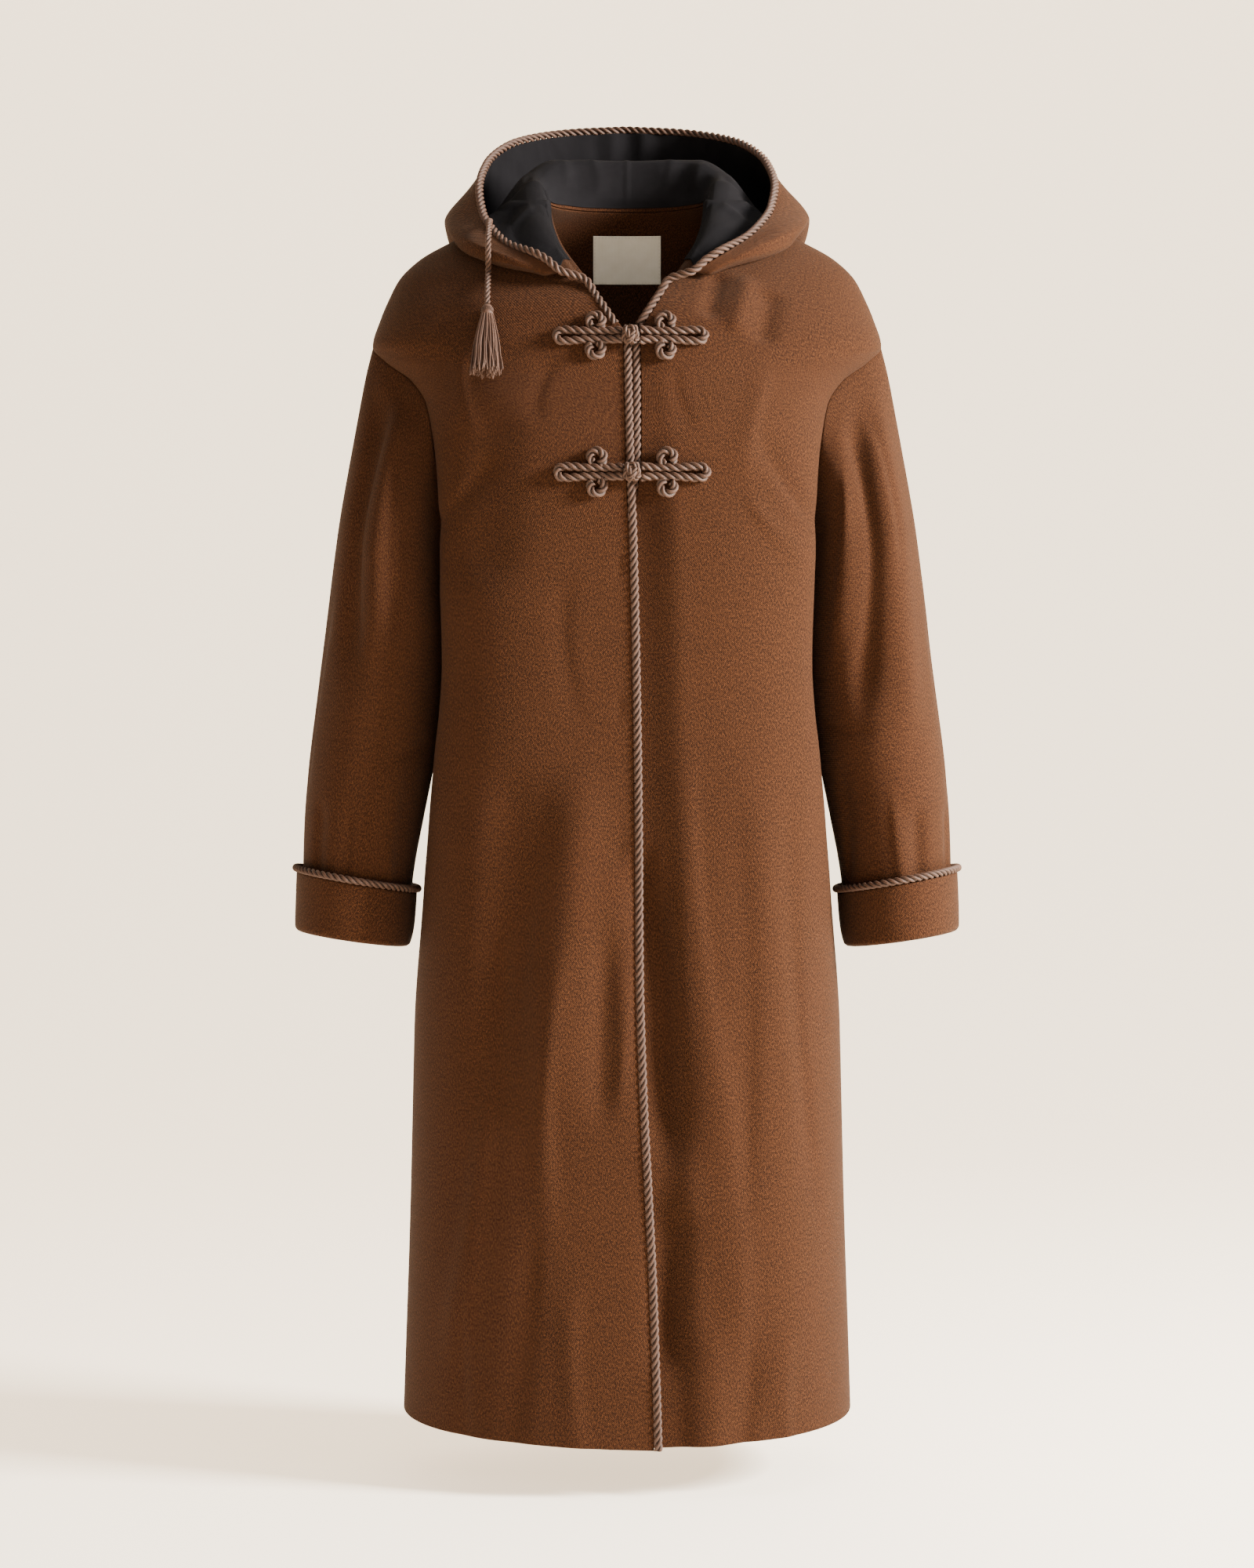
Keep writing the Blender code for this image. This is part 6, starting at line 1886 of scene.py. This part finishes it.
@dataclass
class Trimmings:
    """The cords along the rim, the front edges and the cuffs."""

    wardrobe: Wardrobe
    steps: int = 420
    cuff_steps: int = 180
    rim_sunk: float = 0.78
    rim_full: float = 1.08
    edge_full: float = 1.10
    edge_raised: float = 0.008
    cuff_full: float = 1.15

    def _lay(self, name: str, path: np.ndarray, radius: float, trim: Trim = Trim.OPEN) -> None:
        """Makes one sewn-down cord in place of its solid."""
        parts = Parts()
        parts.tubes(Rope(radius).grid(path, trim), trim)
        declare(parts.piece("rope_" + name, self.wardrobe.cord), name)

    def rim(self) -> None:
        """The rim cord: round the hood's rim, then down the bare neck edge to the frog."""
        coarse = neck_shares()
        last = len(coarse) - 1
        shares = np.interp(np.linspace(0, last, 150), np.arange(last + 1), coarse)
        path = rim_cord_path(shares, EDGE_CORD * self.rim_sunk, 3)
        self._lay("rim_cord", smooth_path(path, self.steps), EDGE_CORD * self.rim_full)

    def edges(self) -> None:
        """The cords down both centre edges, from under the upper frog to the hem."""
        for side in Side:
            height = np.linspace(EDGE_ROWS[1][1], EDGE_CORD_TOP + self.edge_raised, self.steps)
            turn = front_turn(front_edge(height, side), height)
            lift = body_creases(turn, height, FRONT_CREASES) - CLOTH / 2
            edge = front_cloth(turn, height, side, lift)
            edge[:, 0] -= side * (EDGE_CORD + SEAM_GAP)
            self._lay("edge_cord_" + side.word, edge, EDGE_CORD * self.edge_full)

    def cuffs(self) -> None:
        """The cords along both cuffs' free edges."""
        turn = np.linspace(0.0, 2 * math.pi, self.cuff_steps, endpoint=False)
        height = np.full(self.cuff_steps, CUFF_TURN[-1][0] + CUFF_CORD + SEAM_GAP)
        off = np.full(self.cuff_steps, CUFF_TURN[-1][1] + CUFF_CORD_OUT)
        for side in Side:
            self._lay("cuff_cord_" + side.word, cuff_line(height, turn, off, side),
                      CUFF_CORD * self.cuff_full, Trim.RING)


@dataclass
class Frogs:
    """Two knotted frogs, each with two halves and a knot."""

    wardrobe: Wardrobe
    cord_full: float = 1.17
    twist: float = 0.34
    under_gap: float = 1.25
    knot_cord: float = 0.0029
    knot_sunk: float = 0.0026

    def half(self, word: str, x: float, z: float, side: Side) -> None:
        """One half: its long loop, with a curl above and below."""
        gap = FROG_ARM * (1.0 if side < 0 else self.under_gap)
        rope = Rope(FROG_CORD * self.cord_full, self.twist)
        lines = [(frog_path(x, z, side, gap), 200)]
        lines += [(frog_curl(x, z, side, upward), 90) for upward in (1, -1)]
        parts = Parts()
        for line, count in lines:
            parts.tubes(rope.grid(smooth_path(line, count)))
        name = "frog_" + word + "_" + side.word
        declare(parts.piece("rope_" + name, self.wardrobe.cord), name)

    def knot(self, word: str, x: float, z: float) -> None:
        """A ball knot: a cord three times round an ellipsoid, over and under itself."""
        centre = on_front(np.array([x]), np.array([z]), np.array([KNOT_LIFT]))[0]
        size = np.array(KNOT_HALF) - self.knot_sunk
        t = np.linspace(0.0, 2 * math.pi, 260, endpoint=False)
        path = ball(1.02 * np.cos(4.0 * t), 3.0 * t) * (1.0 + 0.16 * np.sin(8.0 * t))[:, None]
        parts = Parts()
        parts.tubes(Rope(self.knot_cord, self.twist, sides=7).grid(path * size + centre, Trim.RING),
                    Trim.RING)
        rise = np.linspace(0.02, math.pi - 0.02, 15)[:, None] - math.pi / 2
        core = ball(rise, np.linspace(0.0, 2 * math.pi, 20, endpoint=False))
        parts.tubes((core * size * 0.98 + centre)[None])
        name = "knot_" + word
        declare(parts.piece("rope_" + name, self.wardrobe.cord), name)

    def build(self) -> None:
        """Builds both frogs."""
        for word, x, z in FROG_KNOTS[1:]:
            for side in Side:
                self.half(word, x, z, side)
            self.knot(word, x, z)


@dataclass
class Tassel:
    """The free cord from the rim, and the tassel on its end."""

    wardrobe: Wardrobe
    threads: int = 170
    seed: int = 7
    thread_radius: float = 0.00062
    skirt_start: float = 0.0095
    skirt_half: tuple = (0.0054, 0.0042)
    flatness: float = 0.86
    head_rise: tuple = (0.0, 0.0010, 0.0030, 0.0060, 0.0085, 0.0110, 0.0125)
    head_girth: tuple = (0.0016, 0.0036, 0.0048, 0.0050, 0.0052, 0.0060, 0.0050)
    wrap_rise: tuple = (0.0052, 0.0066, 0.0080)
    wrap_girth: float = 0.0053
    wrap_cord: float = 0.0008

    def skirt(self) -> bpy.types.Object:
        """The tassel: a bound head and fine threads: top + down * run + spread * start."""
        top, foot = tassel_line(np.array([TASSEL_HEAD_Z, TASSEL_HEAD_Z - 0.012]))
        down, wide = unit(foot - top), np.array([1.0, 0.0, 0.0])
        deep = np.cross(down, wide)
        chance = np.random.default_rng(self.seed)
        radius = np.sqrt(chance.uniform(0.0, 1.0, self.threads))
        angle = chance.uniform(0.0, 2 * math.pi, self.threads)
        a, b = (radius * np.cos(angle))[:, None], (radius * np.sin(angle))[:, None]
        run = np.linspace(0.0, 1.0, 18)[None]
        spread = column(TASSEL_STRAND, "spread", run)
        length = (TASSEL_SKIRT * chance.uniform(0.88, 1.0, self.threads))[:, None]
        bend = 0.0012 * np.sin(run * chance.uniform(3.0, 9.0, (self.threads, 1)) + angle[:, None])
        clump = 0.0016 * np.sign(a) * run**2
        side_u = a * self.skirt_half[0] * spread + bend * run + clump
        side_v = b * self.skirt_half[1] * (1.0 + (spread - 1.0) * 0.35) + bend * run * 0.5
        centre = (top + down * (self.skirt_start + run * length)[..., None]
                  + wide * side_u[..., None] + deep * side_v[..., None])
        spin = np.linspace(0.0, 2 * math.pi, 5, endpoint=False)[:, None]
        ring = (np.cos(spin) * wide - np.sin(spin) * deep) * self.thread_radius
        parts = Parts()
        parts.tubes(centre[:, :, None] + ring)
        turn = np.linspace(0.0, 2 * math.pi, 22, endpoint=False)[:, None]
        oval = np.cos(turn) * wide - self.flatness * np.sin(turn) * deep
        rise, girth = np.array(self.head_rise)[:, None], np.array(self.head_girth)[:, None, None]
        parts.tubes(((top + down * rise)[:, None] + girth * oval)[None])
        for level in self.wrap_rise:
            wrap = top + down * level + self.wrap_girth * oval
            parts.tubes(Rope(self.wrap_cord, 0.3, sides=6, steps=8).grid(wrap, Trim.RING),
                        Trim.RING)
        return declare(parts.piece("thread_tassel", self.wardrobe.cord), "tassel")

    def build(self) -> None:
        """Builds the tassel and declares its cord."""
        tassel = self.skirt()
        route = smooth_path(tassel_route(), TASSEL_CORD_STEPS)
        path = smooth_path(route, 160)
        parts = Parts()
        parts.tubes(Rope(TASSEL_CORD).grid(path))
        piece = declare(parts.piece("rope_tassel_cord", self.wardrobe.cord), "tassel_cord")
        [tuple(p) for p in path[::6]] + [tuple(path[-1])]


# Studio


@dataclass
class Studio:
    """A plain pale sweep, soft light and the camera."""

    camera_height: float = -0.516
    camera_distance: float = 3.2
    lens: float = 74.8
    ground: float = -1.185
    reach: float = 30.0
    bend_start: float = 2.6
    bend_radius: float = 3.2
    wall_top: float = 9.0
    aim: tuple = (0.0, 0.0, -0.5)
    lamps: tuple = (
        ("key", (3.2, -1.15, 0.80), 0.9, 780.0, (1.0, 0.95, 0.88)),
        ("fill", (0.5, -3.4, 0.9), 1.2, 24.0, (1.0, 0.98, 0.96)),
        ("top", (0.7, -0.4, 2.2), 1.6, 34.0, (1.0, 0.98, 0.94)),
    )

    def camera(self) -> None:
        """The camera, level and square to the coat's front."""
        lens = bpy.data.cameras.new("camera")
        lens.lens = self.lens
        lens.sensor_width = 36.0
        made = bpy.data.objects.new("camera", lens)
        made.location = (0.0, -self.camera_distance, self.camera_height)
        made.rotation_euler = (math.pi / 2, 0.0, 0.0)
        bpy.context.collection.objects.link(made)
        bpy.context.scene.camera = made

    def sweep(self) -> None:
        """The floor, bent up behind the coat: a quarter circle between floor and wall."""
        start, radius, bend = self.bend_start, self.bend_radius, np.linspace(0.0, math.pi / 2, 24)
        y = np.concatenate([[-self.reach, start], start + radius * np.sin(bend[1:]),
                            [start + radius]])
        z = np.concatenate([[0.0, 0.0], radius * (1 - np.cos(bend[1:])), [self.wall_top]])
        x = np.array([-self.reach, self.reach])
        grid = np.stack([np.broadcast_to(x, (len(y), 2)), np.repeat(y[:, None], 2, 1),
                         np.repeat(z[:, None] + self.ground, 2, 1)], -1)
        mesh = bpy.data.meshes.new("floor")
        quads = np.arange(len(y) - 1)[:, None] * 2 + np.array([0, 1, 3, 2])
        mesh.from_pydata(grid.reshape(-1, 3).tolist(), [], quads.tolist())
        mesh.shade_smooth()
        paint = bpy.data.materials.new("pale_floor")
        paint.use_nodes = True
        shader = paint.node_tree.nodes["Principled BSDF"]
        shader.inputs["Base Color"].default_value = (0.860, 0.815, 0.735, 1.0)
        shader.inputs["Emission Color"].default_value = (1.0, 0.770, 0.530, 1.0)
        shader.inputs["Emission Strength"].default_value = 1.72
        shader.inputs["Roughness"].default_value = 0.9
        mesh.materials.append(paint)
        made = bpy.data.objects.new("floor", mesh)
        bpy.context.collection.objects.link(made)

    def light(self, name: str, place: tuple, size: float, power: float, colour: tuple) -> None:
        """A square lamp that looks at the coat's middle."""
        lamp = bpy.data.lights.new(name, "AREA")
        lamp.size = size
        lamp.energy = power
        lamp.color = colour
        made = bpy.data.objects.new(name, lamp)
        made.location = place
        aim = -unit(np.array(place) - self.aim)
        made.rotation_euler = (math.acos(-aim[2]), 0.0, math.atan2(-aim[0], aim[1]))
        bpy.context.collection.objects.link(made)

    def build(self) -> None:
        """Builds the studio."""
        self.camera()
        self.sweep()
        for lamp in self.lamps:
            self.light(*lamp)
        world = bpy.data.worlds.new("studio")
        world.use_nodes = True
        shade = world.node_tree.nodes["Background"]
        shade.inputs["Color"].default_value = (1.0, 0.965, 0.91, 1.0)
        shade.inputs["Strength"].default_value = 0.20
        bpy.context.scene.world = world


def main() -> None:
    """Builds every piece in order."""
    logging.basicConfig(level=logging.INFO, format="%(name)s %(message)s")
    Studio().build()
    wardrobe = Wardrobe()
    Tassel(wardrobe).build()
    shell = Shell(wardrobe)
    shell.back()
    for side in Side:
        shell.front(side)
        sleeve = Sleeve(side, wardrobe)
        sleeve.sleeve()
        sleeve.cuff()
    hood = Hood(wardrobe)
    hood.shell()
    hood.lining()
    hood.label()
    hood.stitches()
    trimmings = Trimmings(wardrobe)
    trimmings.rim()
    trimmings.edges()
    trimmings.cuffs()
    Frogs(wardrobe).build()


if __name__ == "__main__":
    main()
